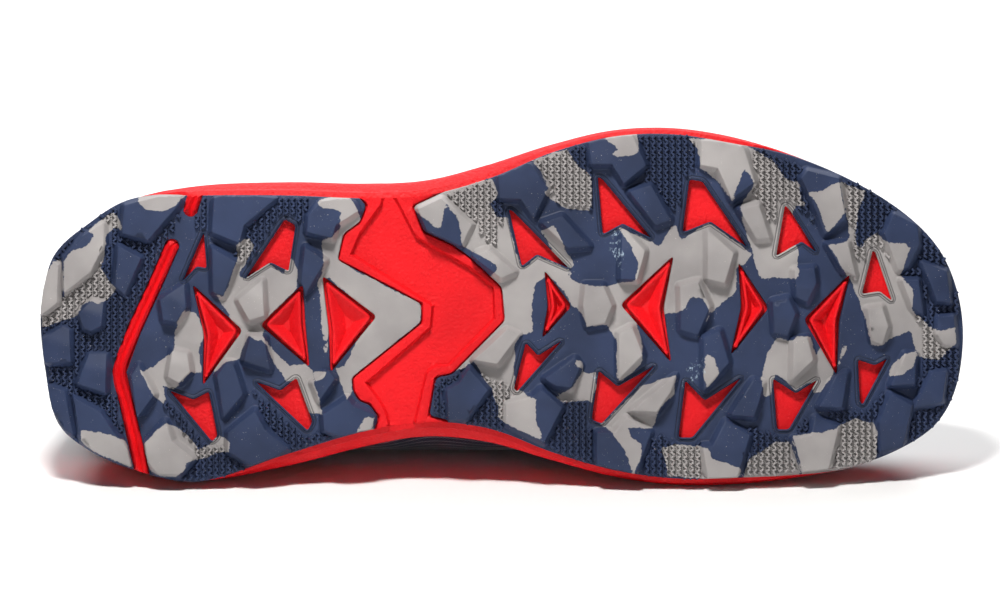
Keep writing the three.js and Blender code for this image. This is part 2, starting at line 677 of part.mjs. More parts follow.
function eyestay() {
  const backEnd = 8;
  const frontEnd = 12;
  const mirrored = (distance) => [
    ...topLine(backEnd, frontEnd, distance),
    ...topLine(turn - frontEnd, turn - backEnd, distance),
  ];
  const low = collarHeight * 0.45;
  const outside = prism(mirrored(stayWidth), low, farUp);
  const throat = prism(mirrored(stayEdge), farDown, farUp);
  return overlayShell().intersect(outside).subtract(throat).subtract(eyeletHoles());
}

// The tongue lies under the throat's edges and rises past the collar. Its rows under the upper are
// ring places with the share of the skin's curve that its side edge reaches down to, and its free
// rows are shares of the rise with how much wider each is than the last row below the collar.
const tongueRows = [[13.5, 0.66], [13, 0.66], [12, 0.66], [11, 0.68], [10, 0.7], [9, 0.76], [8, 0.9]];
const tongueFreeRows = [[0.3, 0.76], [0.65, 0.94], [1, 1.05]];
function tongueGrid(depth) {
  const offWall = (s, t) => offSkin(s, t, -wallAt(s, t) - 3 * clearance - depth);
  const under = (s, t) => {
    const j = skinSteps.findIndex((step) => step >= t);
    const share = (t - skinSteps[j - 1]) / (skinSteps[j] - skinSteps[j - 1]);
    return offWall(s, skinSteps[j - 1]).lerp(offWall(s, skinSteps[j]), share);
  };
  const half = (s, low) => [low, Math.max(skinSteps.at(-2), (low + 1) / 2), 0.96].map((t) => under(s, t));
  const rows = tongueRows.map(([s, low]) => {
    const lateral = half(s, low);
    const medial = half(turn - s, low).reverse();
    const crown = lateral[2].clone().add(medial[0]).multiplyScalar(0.5);
    return [...lateral, crown, ...medial];
  });
  const [before, collar] = rows.slice(-2);
  const rise = collar[3].clone().sub(before[3]).setY(0).normalize();
  rise.lerp(new THREE.Vector3(0, 0, 1), 0.45).normalize();
  const free = tongueFreeRows.map(([share, widen]) => collar.map((p) =>
    new THREE.Vector3(p.x, collar[3].y + (p.y - collar[3].y) * widen, p.z)
      .addScaledVector(rise, share * tongueRise)));
  return [...rows, ...free];
}
const tongue = () =>
  sheetSolid(tongueGrid(0), tongueGrid(tongueThickness)).subtract(upperShell(2 * clearance));

// A closed sheet between an upper and a lower grid of points
function sheetSolid(top, bottom) {
  const wide = top[0].length;
  const start = top.length * wide;
  const faces = [];
  const quad = (a, b, c, d) => faces.push([a, b, c], [a, c, d]);
  for (let j = 0; j + 1 < top.length; j++) {
    for (let k = 0; k + 1 < wide; k++) {
      const a = j * wide + k;
      quad(a, a + wide, a + wide + 1, a + 1);
      quad(start + a, start + a + 1, start + a + wide + 1, start + a + wide);
    }
    const left = j * wide;
    const right = left + wide - 1;
    quad(left, start + left, start + left + wide, left + wide);
    quad(right, right + wide, start + right + wide, start + right);
  }
  for (let k = 0; k + 1 < wide; k++) {
    const end = (top.length - 1) * wide + k;
    quad(k, k + 1, start + k + 1, start + k);
    quad(end, start + end, start + end + 1, end + 1);
  }
  const made = solid([...top.flat(), ...bottom.flat()], faces);
  return made.volume() > 0 ? made
    : solid([...top.flat(), ...bottom.flat()], faces.map((face) => [...face].reverse()));
}

function insole() {
  const inset = (s) => cupInset(s) + wall + clearance;
  return ringLoft([
    level((s) => edgePoint(s, inset(s), floorZ(at('x', s)) + clearance)),
    level((s) => edgePoint(s, inset(s), floorZ(at('x', s)) + clearance + insoleThickness)),
  ]);
}

// One flat run of lace over the throat from an eyelet on one side to one on the other
function laceRun(fromPlace, toPlace) {
  const lift = seat + overlay + laceThickness / 2 + laceLift;
  const ends = [fromPlace, toPlace];
  const route = [
    offSkin(ends[0], shareAt(ends[0], eyeletInset), lift),
    offSkin(ends[0], 0.985, 1.5 * lift),
    offSkin(ends[1], 0.985, 1.5 * lift),
    offSkin(ends[1], shareAt(ends[1], eyeletInset), lift),
  ];
  const rows = route.map((p, i) => {
    const run = route[Math.min(3, i + 1)].clone().sub(route[Math.max(0, i - 1)]).normalize();
    const up = skinNormal(i < 2 ? ends[0] : ends[1], 0.985).add(new THREE.Vector3(-0.3, 0, 1));
    const side = up.clone().cross(run).normalize();
    const face = run.clone().cross(side).normalize();
    return { p, side, face };
  });
  const grid = (share) => rows.map(({ p, side, face }) => [-1, 1].map((edge) => p.clone()
    .addScaledVector(side, edge * laceWidth / 2)
    .addScaledVector(face, share * laceThickness / 2)));
  return sheetSolid(grid(1), grid(-1));
}
function lace() {
  const places = eyeletPlaces();
  const front = places.at(-1);
  const runs = [laceRun(front, turn - front)];
  for (let i = 0; i + 1 < places.length; i++) {
    runs.push(laceRun(places[i], turn - places[i + 1]));
    runs.push(laceRun(places[i + 1], turn - places[i]));
  }
  return joinAll(runs);
}

// Finishes
const finish = (color, roughness) => new THREE.MeshStandardMaterial({ color, roughness, metalness: 0 });
const rubber = finish('#33405f', 0.75);
const greyRubber = finish('#6d7180', 0.75);
const foam = finish('#ee1c25', 0.6);
const mesh = finish('#27304a', 0.9);
const film = finish('#1f2740', 0.5);
const lining = finish('#8b8f99', 0.95);
const cord = finish('#c9302f', 0.85);

function piece(name, body, material) {
  const { vertProperties, triVerts, numProp } = body.getMesh();
  const geometry = new THREE.BufferGeometry();
  const coords = new Float32Array(vertProperties.length / numProp * 3);
  for (let i = 0; i < coords.length / 3; i++) {
    for (let axis = 0; axis < 3; axis++) coords[3 * i + axis] = vertProperties[numProp * i + axis];
  }
  geometry.setAttribute('position', new THREE.BufferAttribute(coords, 3));
  geometry.setIndex(new THREE.BufferAttribute(Uint32Array.from(triVerts), 1));
  const made = new THREE.Mesh(geometry, material);
  made.name = name;
  return made;
}

const pieces = [
  piece('midsole', midsole(), foam),
  piece('outsole_heel', outsole(heelArea, heelWindows, heelPods, heelLugs, [heelGroove, heelNotch]), rubber),
  piece('outsole_forefoot', outsole(forefootArea, forefootWindows, forefootPods, forefootLugs, []), greyRubber),
  piece('upper', upper(), mesh),
  piece('toe_cap', toeCap(), film),
  piece('heel_counter', heelCounter(), film),
  piece('eyestay', eyestay(), film),
  piece('tongue', tongue(), lining),
  piece('insole', insole(), lining),
  piece('lace', lace(), cord),
];

// Weight of each finish in grams per cubic centimetre, for the centre of weight
const weights = new Map([
  [rubber, 1.15], [greyRubber, 1.15], [foam, 0.2], [mesh, 0.35], [film, 1.1], [lining, 0.18], [cord, 0.6],
]);
function vertices({ geometry }) {
  const position = geometry.attributes.position;
  return Array.from({ length: position.count }, (_, i) => new THREE.Vector3().fromBufferAttribute(position, i));
}
function centreOfWeight() {
  const sum = new THREE.Vector3();
  let total = 0;
  for (const made of pieces) {
    const corners = vertices(made);
    const index = made.geometry.index.array;
    for (let i = 0; i < index.length; i += 3) {
      const [a, b, c] = [0, 1, 2].map((k) => corners[index[i + k]]);
      const share = weights.get(made.material) * a.dot(b.clone().cross(c));
      sum.addScaledVector(a, share / 4).addScaledVector(b, share / 4).addScaledVector(c, share / 4);
      total += share;
    }
  }
  return sum.divideScalar(total);
}

// The shoe lies where it comes to rest on its inner side: on the face of its hull that looks most
// to that side and has the centre of weight over it
function restingTurn() {
  const hull = new ConvexHull().setFromPoints(pieces.flatMap(vertices));
  const centre = centreOfWeight();
  const inward = new THREE.Vector3(0, 1, 0);
  const holds = ({ normal, edge }) => {
    for (let side = edge, n = 0; n < 3; side = side.next, n++) {
      const from = side.tail().point;
      const run = side.head().point.clone().sub(from);
      if (run.cross(centre.clone().sub(from)).dot(normal) < 0) return false;
    }
    return true;
  };
  const [down] = hull.faces.filter(holds)
    .map(({ normal }) => normal.clone().normalize())
    .sort((one, other) => other.dot(inward) - one.dot(inward));
  const level = new THREE.Quaternion().setFromUnitVectors(down, new THREE.Vector3(0, 0, -1));
  const ahead = new THREE.Vector3(1, 0, 0).applyQuaternion(level);
  const swing = new THREE.Quaternion().setFromAxisAngle(new THREE.Vector3(0, 0, 1), -Math.atan2(ahead.y, ahead.x));
  return swing.multiply(level);
}

const group = new THREE.Group();
group.name = 'trail_running_shoe';
group.add(...pieces);
group.quaternion.copy(restingTurn());
group.updateMatrixWorld(true);
const box = new THREE.Box3().setFromObject(group, true);
const middle = box.getCenter(new THREE.Vector3());
group.position.set(-middle.x, -middle.y, -box.min.z);
group.updateMatrixWorld(true);

export default group;
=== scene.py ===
# Trail running shoe for the right foot, lying on its inner side
import json
import math

import bmesh
import bpy
import numpy as np
from mathutils import Matrix, Vector, geometry

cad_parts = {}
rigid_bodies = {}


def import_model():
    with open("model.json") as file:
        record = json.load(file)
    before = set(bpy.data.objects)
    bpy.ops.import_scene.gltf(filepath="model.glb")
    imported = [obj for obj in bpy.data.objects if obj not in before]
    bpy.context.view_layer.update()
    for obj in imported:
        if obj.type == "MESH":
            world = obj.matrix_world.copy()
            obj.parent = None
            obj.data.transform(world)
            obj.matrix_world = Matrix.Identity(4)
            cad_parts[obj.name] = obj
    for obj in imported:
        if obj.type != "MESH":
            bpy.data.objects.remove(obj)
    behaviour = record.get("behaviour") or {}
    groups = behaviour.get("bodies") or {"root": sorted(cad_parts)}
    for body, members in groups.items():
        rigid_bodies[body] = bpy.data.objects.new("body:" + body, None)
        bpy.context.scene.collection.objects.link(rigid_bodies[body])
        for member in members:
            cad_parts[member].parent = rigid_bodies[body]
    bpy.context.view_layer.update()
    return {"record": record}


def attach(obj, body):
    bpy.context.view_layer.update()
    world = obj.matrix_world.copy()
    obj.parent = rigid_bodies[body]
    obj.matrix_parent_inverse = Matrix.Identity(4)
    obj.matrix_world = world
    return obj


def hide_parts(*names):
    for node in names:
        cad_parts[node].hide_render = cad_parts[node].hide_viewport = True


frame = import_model()

# Sizes in millimetres, in the shoe's own frame: x to the toe, y to the inner side, z to the foot
last = {
    "length": 300, "ball": 116, "collar": 101, "heelFloor": 26, "foreFloor": 18.5, "rim": 36,
    "toeSpring": 14, "heelBevel": 5, "lug": 4, "plate": 2, "lip": 4.5, "skirt": 11,
    "rimWidth": 3.2, "rimLean": 4.2, "wallLean": 0.8, "flareShare": 0.14, "wallShare": 0.45,
    "cupSlope": 0.8, "wall": 2.2, "pad": 5, "swell": 10, "shoulder": 0.32, "clearance": 0.3,
}
chartLong = 930  # squares of the sole's chart from heel to toe
chartWide = 360  # squares across the ball


def table(columns, rows):
    names = columns.split()
    return [dict(zip(names, row)) for row in rows]


# Shares of the shoe's length, ball width, lip, skirt, rim and lean
soleRows = table("along lateral medial lip lipIn skirt rim lean", [
    (0.000, -0.010, -0.010, 0.0, 0.00, 1.0, 1.10, 0.6), (0.005, -0.120, 0.121, 0.0, 0.00, 1.0, 1.10, 0.6),
    (0.017, -0.202, 0.263, 0.0, 0.00, 0.9, 1.08, 0.7), (0.047, -0.272, 0.340, 0.0, 0.00, 0.6, 1.06, 0.8),
    (0.100, -0.352, 0.402, 0.0, 0.00, 0.2, 1.03, 0.9), (0.173, -0.390, 0.436, 0.75, 0.00, 0.0, 1.00, 1.0),
    (0.267, -0.400, 0.395, 1.0, 0.85, 0.0, 0.98, 0.8), (0.350, -0.396, 0.341, 1.1, 1.10, 0.0, 0.95, 0.3),
    (0.417, -0.405, 0.313, 1.1, 1.10, 0.0, 0.91, 0.0), (0.483, -0.448, 0.328, 1.0, 1.00, 0.0, 0.87, 0.1),
    (0.550, -0.503, 0.377, 0.6, 0.60, 0.0, 0.83, 0.6), (0.617, -0.544, 0.423, 0.5, 0.50, 0.0, 0.80, 1.0),
    (0.683, -0.551, 0.447, 0.5, 0.50, 0.0, 0.78, 1.0), (0.750, -0.525, 0.446, 0.5, 0.50, 0.0, 0.76, 1.0),
    (0.817, -0.472, 0.428, 0.1, 0.35, 0.1, 0.74, 0.9), (0.883, -0.396, 0.396, 0.0, 0.10, 0.3, 0.70, 0.8),
    (0.937, -0.308, 0.338, 0.0, 0.00, 0.6, 0.66, 0.7), (0.973, -0.213, 0.269, 0.0, 0.00, 0.8, 0.63, 0.6),
    (0.993, -0.099, 0.168, 0.0, 0.00, 0.9, 0.61, 0.6), (1.000, 0.030, 0.030, 0.0, 0.00, 1.0, 0.60, 0.6),
])
topRows = table("along ridge gap height round pad swellOut swellIn", [
    (0.030, 0.010, 0.000, 1.00, 0.12, 0.9, 0.50, 0.50), (0.036, 0.010, 0.088, 1.00, 0.12, 0.9, 0.50, 0.50),
    (0.050, 0.010, 0.158, 0.985, 0.12, 0.9, 0.50, 0.50), (0.082, 0.008, 0.205, 0.94, 0.12, 1.0, 0.50, 0.50),
    (0.128, 0.006, 0.238, 0.87, 0.12, 1.0, 0.50, 0.50), (0.190, 0.004, 0.255, 0.83, 0.12, 1.0, 0.50, 0.40),
    (0.265, 0.000, 0.245, 0.85, 0.15, 1.0, 0.60, 1.00), (0.333, -0.005, 0.215, 0.94, 0.20, 0.7, 0.70, 2.00),
    (0.385, -0.010, 0.172, 1.03, 0.35, 0.2, 0.70, 2.40), (0.447, -0.015, 0.146, 0.95, 0.50, 0.0, 0.60, 2.10),
    (0.513, -0.018, 0.132, 0.86, 0.60, 0.0, 0.60, 1.30), (0.583, -0.020, 0.120, 0.77, 0.70, 0.0, 0.50, 0.70),
    (0.653, -0.018, 0.095, 0.695, 0.85, 0.0, 0.50, 0.50), (0.713, -0.012, 0.000, 0.635, 1.00, 0.0, 0.50, 0.50),
    (0.775, -0.004, 0.000, 0.600, 1.00, 0.0, 0.45, 0.45), (0.827, 0.006, 0.000, 0.580, 1.00, 0.0, 0.40, 0.40),
    (0.862, 0.014, 0.000, 0.570, 1.00, 0.0, 0.30, 0.30), (0.882, 0.020, 0.000, 0.563, 1.00, 0.0, 0.20, 0.20),
    (0.894, 0.026, 0.000, 0.558, 1.00, 0.0, 0.20, 0.20), (0.900, 0.030, 0.000, 0.555, 1.00, 0.0, 0.20, 0.20),
])
lastRow = len(soleRows) - 1
turns = 2 * lastRow


def ringOf(rows, lateral, medial=None, size=1.0, side=1.0):
    there = [row[lateral] * size * side for row in rows]
    back = [row[medial or lateral] * size for row in rows[-2:0:-1]]
    return np.array(there + back)


rings = {
    "x": ringOf(soleRows, "along", size=last["length"]),
    "y": ringOf(soleRows, "lateral", "medial", last["ball"]),
    "lip": ringOf(soleRows, "lip", "lipIn", last["lip"]),
    "skirt": ringOf(soleRows, "skirt", size=last["skirt"]),
    "rim": ringOf(soleRows, "rim", size=last["rim"]),
    "lean": ringOf(soleRows, "lean", size=last["rimLean"]),
    "topX": ringOf(topRows, "along", size=last["length"]),
    "ridge": ringOf(topRows, "ridge", size=last["ball"]),
    "gap": ringOf(topRows, "gap", size=last["ball"], side=-1.0),
    "topZ": ringOf(topRows, "height", size=last["collar"]),
    "round": ringOf(topRows, "round"),
    "pad": ringOf(topRows, "pad", size=last["pad"]),
    "swell": ringOf(topRows, "swellOut", "swellIn", last["swell"]),
}


def between(a, b, c, d, f):
    # a smooth way from b to c, at share f, that minds the points before and after
    return b + 0.5 * f * (c - a + f * (2 * a - 5 * b + 4 * c - d + f * (3 * (b - c) + d - a)))


def at(name, s):
    # a size of the shoe at ring place s: from the heel along the outer side to the toe, and back
    s = np.mod(s, turns)
    i = np.floor(s).astype(int)
    return between(*(rings[name][(i + step) % turns] for step in (-1, 0, 1, 2)), s - i)


def mix(a, b, share):
    return a + (b - a) * share


def smooth(value, low, high):
    f = np.clip((value - low) / (high - low), 0, 1)
    return f * f * (3 - 2 * f)


def stacked(x, y, z):
    return np.stack(np.broadcast_arrays(x, y, z), axis=-1).astype(float)


def unit(v):
    return v / np.maximum(np.linalg.norm(v, axis=-1, keepdims=True), 1e-9)


# Heights above the tread plane
def treadZ(x):
    spring = 0.683 * last["length"]
    bevel = 0.127 * last["length"]
    toe = last["toeSpring"] * (np.maximum(0, x - spring) / (last["length"] - spring)) ** 2
    return toe + last["heelBevel"] * (np.maximum(0, bevel - x) / bevel) ** 2


def faceZ(x):
    return treadZ(x) + last["lug"]


def plateZ(x):
    return faceZ(x) + last["plate"]


def backZ(x):
    # the back of the rubber, where the foam starts
    return plateZ(x) + last["clearance"]


def floorZ(x):
    slope = smooth(x, 0.2 * last["length"], 0.68 * last["length"])
    return np.maximum(0, treadZ(x) - treadZ(0)) + mix(last["heelFloor"], last["foreFloor"], slope)


def edgePoint(s, inset, z):
    dx = at("x", s + 0.05) - at("x", s - 0.05)
    dy = at("y", s + 0.05) - at("y", s - 0.05)
    size = np.hypot(dx, dy)
    return stacked(at("x", s) - inset * dy / size, at("y", s) + inset * dx / size, z)


def rimZ(s):
    return treadZ(at("x", s)) + at("rim", s)


def formInset(s, z):
    # how far the side of the sole leans in at height z
    low = backZ(at("x", s))
    top = rimZ(s)
    knees = [low, mix(low, top, last["flareShare"]), mix(low, top, last["wallShare"]), top]
    insets = [at("lip", s), 0 * s, 0 * s + last["wallLean"], at("lean", s)]
    out = insets[0]
    for k in range(3):
        share = np.clip((z - knees[k]) / (knees[k + 1] - knees[k]), 0, 1)
        out = np.where(z > knees[k], mix(insets[k], insets[k + 1], share), out)
    return out


def cupInset(s):
    return at("lean", s) + last["rimWidth"] + last["cupSlope"] + last["clearance"]


def skin(s, t):
    # the upper's outer face: ring place s, and t from 0 at the midsole's rim to 1 at the top line
    s, t = np.broadcast_arrays(np.asarray(s, float) % turns, np.asarray(t, float))
    x = at("x", s)
    start = edgePoint(s, cupInset(s), rimZ(s) + last["clearance"])
    side = np.where(s <= lastRow, -1, 1)
    gap = side * np.maximum(0, side * at("gap", s))
    end = stacked(at("topX", s), at("ridge", s) + gap, at("topZ", s))
    reach = np.linalg.norm(end - start, axis=-1, keepdims=True)
    bend = np.minimum(1, at("round", s))[..., None]
    out = edgePoint(s, 0, 0) - edgePoint(s, 1, 0)
    first = start + out * at("swell", s)[..., None]
    first[..., 2] += last["shoulder"] * np.abs(end[..., 2] - start[..., 2])
    across = end - start
    across[..., 2] = 0
    arrive = unit(across) * bend
    arrive[..., 2] = 1 - bend[..., 0]
    second = end - 0.42 * reach * unit(arrive)
    f = np.clip(t, 0, 1)[..., None]
    g = 1 - f
    curve = start * g ** 3 + 3 * first * g * g * f + 3 * second * g * f * f + end * f ** 3
    inCup = stacked(start[..., 0], start[..., 1], mix(start[..., 2], floorZ(x) + 0.3, np.clip(-t, 0, 1)))
    return np.where((t < 0)[..., None], inCup, curve)


def skinNormal(s, t):
    step = 0.05
    ds = skin(s + step, t) - skin(s - step, t)
    dt = skin(s, np.minimum(1, t + step)) - skin(s, np.maximum(-1, t - step))
    return unit(np.cross(ds, dt))


def offSkin(s, t, distance):
    return skin(s, t) + skinNormal(s, t) * np.asarray(distance, float)[..., None]


def wallAt(s, t):
    return last["wall"] + at("pad", s) * smooth(t, 0.5, 0.95)


# From the shoe's own frame to the frame of the part, by the three flat spots of the record
def shoeMatrix():
    spots = {mount["name"]: mount for mount in frame["record"]["mounts"]}
    heel, fore = (Vector(spots[name]["pos_m"]) for name in ("heel_tread", "forefoot_tread"))
    up = -Vector(spots["heel_tread"]["axis"])
    squareX = last["length"] / chartLong
    squareY = last["ball"] / chartWide
    heelX, heelY = 219 * squareX, 27 * squareY
    foreX, foreY = 559 * squareX, -19 * squareY
    ahead = (fore - heel).normalized()
    ahead.rotate(Matrix.Rotation(-math.atan2(foreY - heelY, foreX - heelX), 3, up))
    medial = up.cross(ahead)
    origin = heel - (ahead * heelX + medial * heelY) / 1000
    turned = Matrix((ahead, medial, up)).transposed().to_4x4()
    return Matrix.Translation(origin) @ turned @ Matrix.Scale(0.001, 4)


toPart = shoeMatrix()


# Mesh helpers
def gridFaces(rows, columns, closed=False, start=0):
    j, k = np.meshgrid(np.arange(rows - 1), np.arange(columns if closed else columns - 1), indexing="ij")
    here, there = start + j * columns, start + (j + 1) * columns
    following = (k + 1) % columns
    return np.stack([here + k, here + following, there + following, there + k], -1).reshape(-1, 4).tolist()


class Shape:
    # points, faces and attributes gathered from several stretches into one mesh
    def __init__(self):
        self.points, self.faces, self.marks, self.count = [], [], {}, 0

    def add(self, points, faces, **marks):
        points = np.asarray(points, float).reshape(-1, 3)
        self.points.append(points)
        self.faces += [[i + self.count for i in face] for face in faces]
        for name, values in marks.items():
            self.marks.setdefault(name, []).append((self.count, np.broadcast_to(values, len(points))))
        self.count += len(points)

    def grid(self, points, closed=False, flip=False, **marks):
        faces = gridFaces(points.shape[0], points.shape[1], closed)
        self.add(points, [face[::-1] for face in faces] if flip else faces,
                 **{name: np.ravel(values) if np.ndim(values) else values for name, values in marks.items()})

    def make(self, name, material, weld=0.02, sharp=32, closed=False):
        points = np.concatenate(self.points)
        mesh = bpy.data.meshes.new(name)
        mesh.from_pydata(points.tolist(), [], self.faces)
        for mark, stretches in self.marks.items():
            values = np.zeros(self.count, dtype=np.float32)
            for start, some in stretches:
                values[start:start + len(some)] = some
            mesh.attributes.new(mark, "FLOAT", "POINT").data.foreach_set("value", values)
        work = bmesh.new()
        work.from_mesh(mesh)
        if weld:
            bmesh.ops.remove_doubles(work, verts=work.verts, dist=weld)
        bmesh.ops.dissolve_degenerate(work, edges=work.edges, dist=0.002)
        if closed:
            bmesh.ops.recalc_face_normals(work, faces=work.faces)
        loose = [v for v in work.verts if not v.link_faces]
        bmesh.ops.delete(work, geom=loose, context="VERTS")
        work.to_mesh(mesh)
        work.free()
        mesh.transform(toPart)
        mesh.shade_smooth()
        if sharp:
            mesh.set_sharp_from_angle(angle=math.radians(sharp))
        obj = bpy.data.objects.new(name, mesh)
        bpy.context.scene.collection.objects.link(obj)
        mesh.materials.append(material)
        return obj


def settle(obj, slot, *nodes):
    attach(obj, "root")
    if nodes:
        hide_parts(*nodes)
    print("made", obj.name, len(obj.data.polygons), "faces")
    return obj


# Flat outlines
def onChart(points):
    return np.array(points, float) * (last["length"] / chartLong, last["ball"] / chartWide)


def anticlockwise(loop):
    x, y = loop[:, 0], loop[:, 1]
    area = np.sum(x * np.roll(y, -1) - np.roll(x, -1) * y)
    return loop if area > 0 else loop[::-1]


def rounded(loop, radius, step=0.8):
    # corners as short curves, and even steps along the straight runs
    out = []
    count = len(loop)
    for i in range(count):
        before, here, after = loop[i - 1], loop[i], loop[(i + 1) % count]
        back, ahead = before - here, after - here
        cut = min(radius, 0.45 * np.linalg.norm(back), 0.45 * np.linalg.norm(ahead))
        a = here + back / np.linalg.norm(back) * cut
        b = here + ahead / np.linalg.norm(ahead) * cut
        out += [a * (1 - f) ** 2 + 2 * here * f * (1 - f) + b * f * f for f in np.linspace(0, 1, 5)]
    dense = []
    for i, a in enumerate(out):
        b = out[(i + 1) % len(out)]
        parts = max(1, int(np.linalg.norm(b - a) / step))
        dense += [a + (b - a) * k / parts for k in range(parts)]
    return np.array(dense)


def offset(loop, distance):
    # outwards where the distance is positive, for a loop that runs anticlockwise
    ahead = unit(np.roll(loop, -1, 0) - loop)
    back = unit(loop - np.roll(loop, 1, 0))
    run = unit(ahead + back)
    out = np.stack([run[:, 1], -run[:, 0]], -1)
    share = np.maximum(0.6, np.sum(run * ahead, -1, keepdims=True))
    return loop + out * distance / share


def inside(points, loop):
    x, y = points[:, 0], points[:, 1]
    found = np.zeros(len(points), bool)
    for (ax, ay), (bx, by) in zip(loop, np.roll(loop, -1, 0)):
        if ay != by:
            crosses = (ay > y) != (by > y)
            found ^= crosses & (x < (bx - ax) * (y - ay) / (by - ay) + ax)
    return found


def pathDistance(points, path, closed=True):
    best = np.full(len(points), 1e9)
    ends = np.roll(path, -1, 0) if closed else path[1:]
    for a, b in zip(path, ends):
        run = b - a
        size = max(1e-12, float(run @ run))
        f = np.clip(((points - a) @ run) / size, 0, 1)
        best = np.minimum(best, np.hypot(*(points - a - f[:, None] * run).T))
    return best


def depthIn(points, loop):
    # distance to the loop, positive inside it
    distance = pathDistance(points, loop)
    return np.where(inside(points, loop), distance, -distance)


def triangulated(loops, free):
    points = np.concatenate(list(loops) + [free])
    edges = []
    start = 0
    for loop in loops:
        edges += [(start + i, start + (i + 1) % len(loop)) for i in range(len(loop))]
        start += len(loop)
    made = geometry.delaunay_2d_cdt([Vector(p) for p in points], edges, [], 0, 1e-4)
    return np.array([tuple(v) for v in made[0]]), [f for f in made[2] if len(f) == 3]


def filled(loop, holes, free):
    # a flat net inside the loop and round its holes, facing the ground
    flat, faces = triangulated([loop] + holes, free)
    centres = np.array([flat[face].mean(0) for face in faces])
    wanted = inside(centres, loop) & ~anyInside(centres, holes)
    return flat, [face[::-1] for face, keep in zip(faces, wanted) if keep]


def hexGrid(low, high, step):
    rows = np.arange(low[1], high[1], step * 0.866)
    columns = np.arange(low[0], high[0], step)
    x, y = np.meshgrid(columns, rows)
    x = x + np.where(np.arange(len(rows)) % 2, step / 2, 0)[:, None]
    return np.stack([x.ravel(), y.ravel()], -1)


# Node helpers: a wire is one number coming out of a node
class Wire:
    def __init__(self, look, socket):
        self.look, self.socket = look, socket

    def __add__(self, other):
        return self.look.maths("ADD", self, other)

    def __sub__(self, other):
        return self.look.maths("SUBTRACT", self, other)

    def __rsub__(self, other):
        return self.look.maths("SUBTRACT", other, self)

    def __mul__(self, other):
        return self.look.maths("MULTIPLY", self, other)

    def __truediv__(self, other):
        return self.look.maths("DIVIDE", self, other)

    __radd__ = __add__
    __rmul__ = __mul__


def colour(text):
    # a colour as it is seen, written as rrggbb, to the numbers that a shader takes
    parts = [int(text[i:i + 2], 16) / 255 for i in (0, 2, 4)]
    return tuple(((c + 0.055) / 1.055) ** 2.4 if c > 0.04 else c / 12.92 for c in parts) + (1.0,)


class Look:
    def __init__(self, name, roughness=0.6, **fixed):
        self.material = bpy.data.materials.new(name)
        self.material.use_nodes = True
        self.tree = self.material.node_tree
        self.shader = self.tree.nodes["Principled BSDF"]
        self.shader.inputs["Roughness"].default_value = roughness
        for key, value in fixed.items():
            self.shader.inputs[key.replace("_", " ")].default_value = value

    def node(self, kind, settings, sockets, out=0):
        made = self.tree.nodes.new(kind)
        for key, value in settings.items():
            setattr(made, key, value)
        for key, value in sockets.items():
            match = [i for i in made.inputs if i.identifier == key or i.name == key]
            socket = made.inputs[key] if isinstance(key, int) else match[0]
            if isinstance(value, Wire):
                self.tree.links.new(value.socket, socket)
            else:
                socket.default_value = value
        return Wire(self, made.outputs[out])

    def maths(self, operation, a, b=0.0):
        return self.node("ShaderNodeMath", {"operation": operation}, {0: a, 1: b})

    def place(self):
        return self.node("ShaderNodeTexCoord", {}, {}, "Object")

    def mark(self, name):
        return self.node("ShaderNodeAttribute", {"attribute_name": name}, {}, "Fac")

    def noise(self, scale, detail=2.0, rough=0.5):
        return self.node("ShaderNodeTexNoise", {}, {
            "Vector": self.place(), "Scale": scale, "Detail": detail, "Roughness": rough}, "Fac")

    def step(self, value, middle, width):
        return self.node("ShaderNodeMapRange", {"interpolation_type": "SMOOTHSTEP"}, {
            "Value": value, "From Min": middle - width / 2, "From Max": middle + width / 2})

    def blend(self, share, a, b):
        return self.node("ShaderNodeMix", {"data_type": "RGBA"}, {
            "Factor_Float": share, "A_Color": a, "B_Color": b}, 2)

    def feed(self, name, wire):
        self.tree.links.new(wire.socket, self.shader.inputs[name])

    def bump(self, *layers):
        # each layer is a height, the depth in millimetres that it stands for and its strength
        below = None
        for height, depth, strength in layers:
            sockets = {"Height": height, "Distance": depth / 1000, "Strength": strength}
            if below:
                sockets["Normal"] = below
            below = self.node("ShaderNodeBump", {}, sockets)
        self.feed("Normal", below)


# Two-colour rubber: grey patches on navy, charted on the sole, with ragged edges
rubberLook = {"navy": "2a3654", "navyDeep": "212b44", "grey": "9a9695", "greyDeep": "868282",
              "scuff": "a9bccb", "dust": "b9b3ac", "grooveShade": "20222b", "edge": 0.75,
              "rimLines": (0.6, 1.3)}


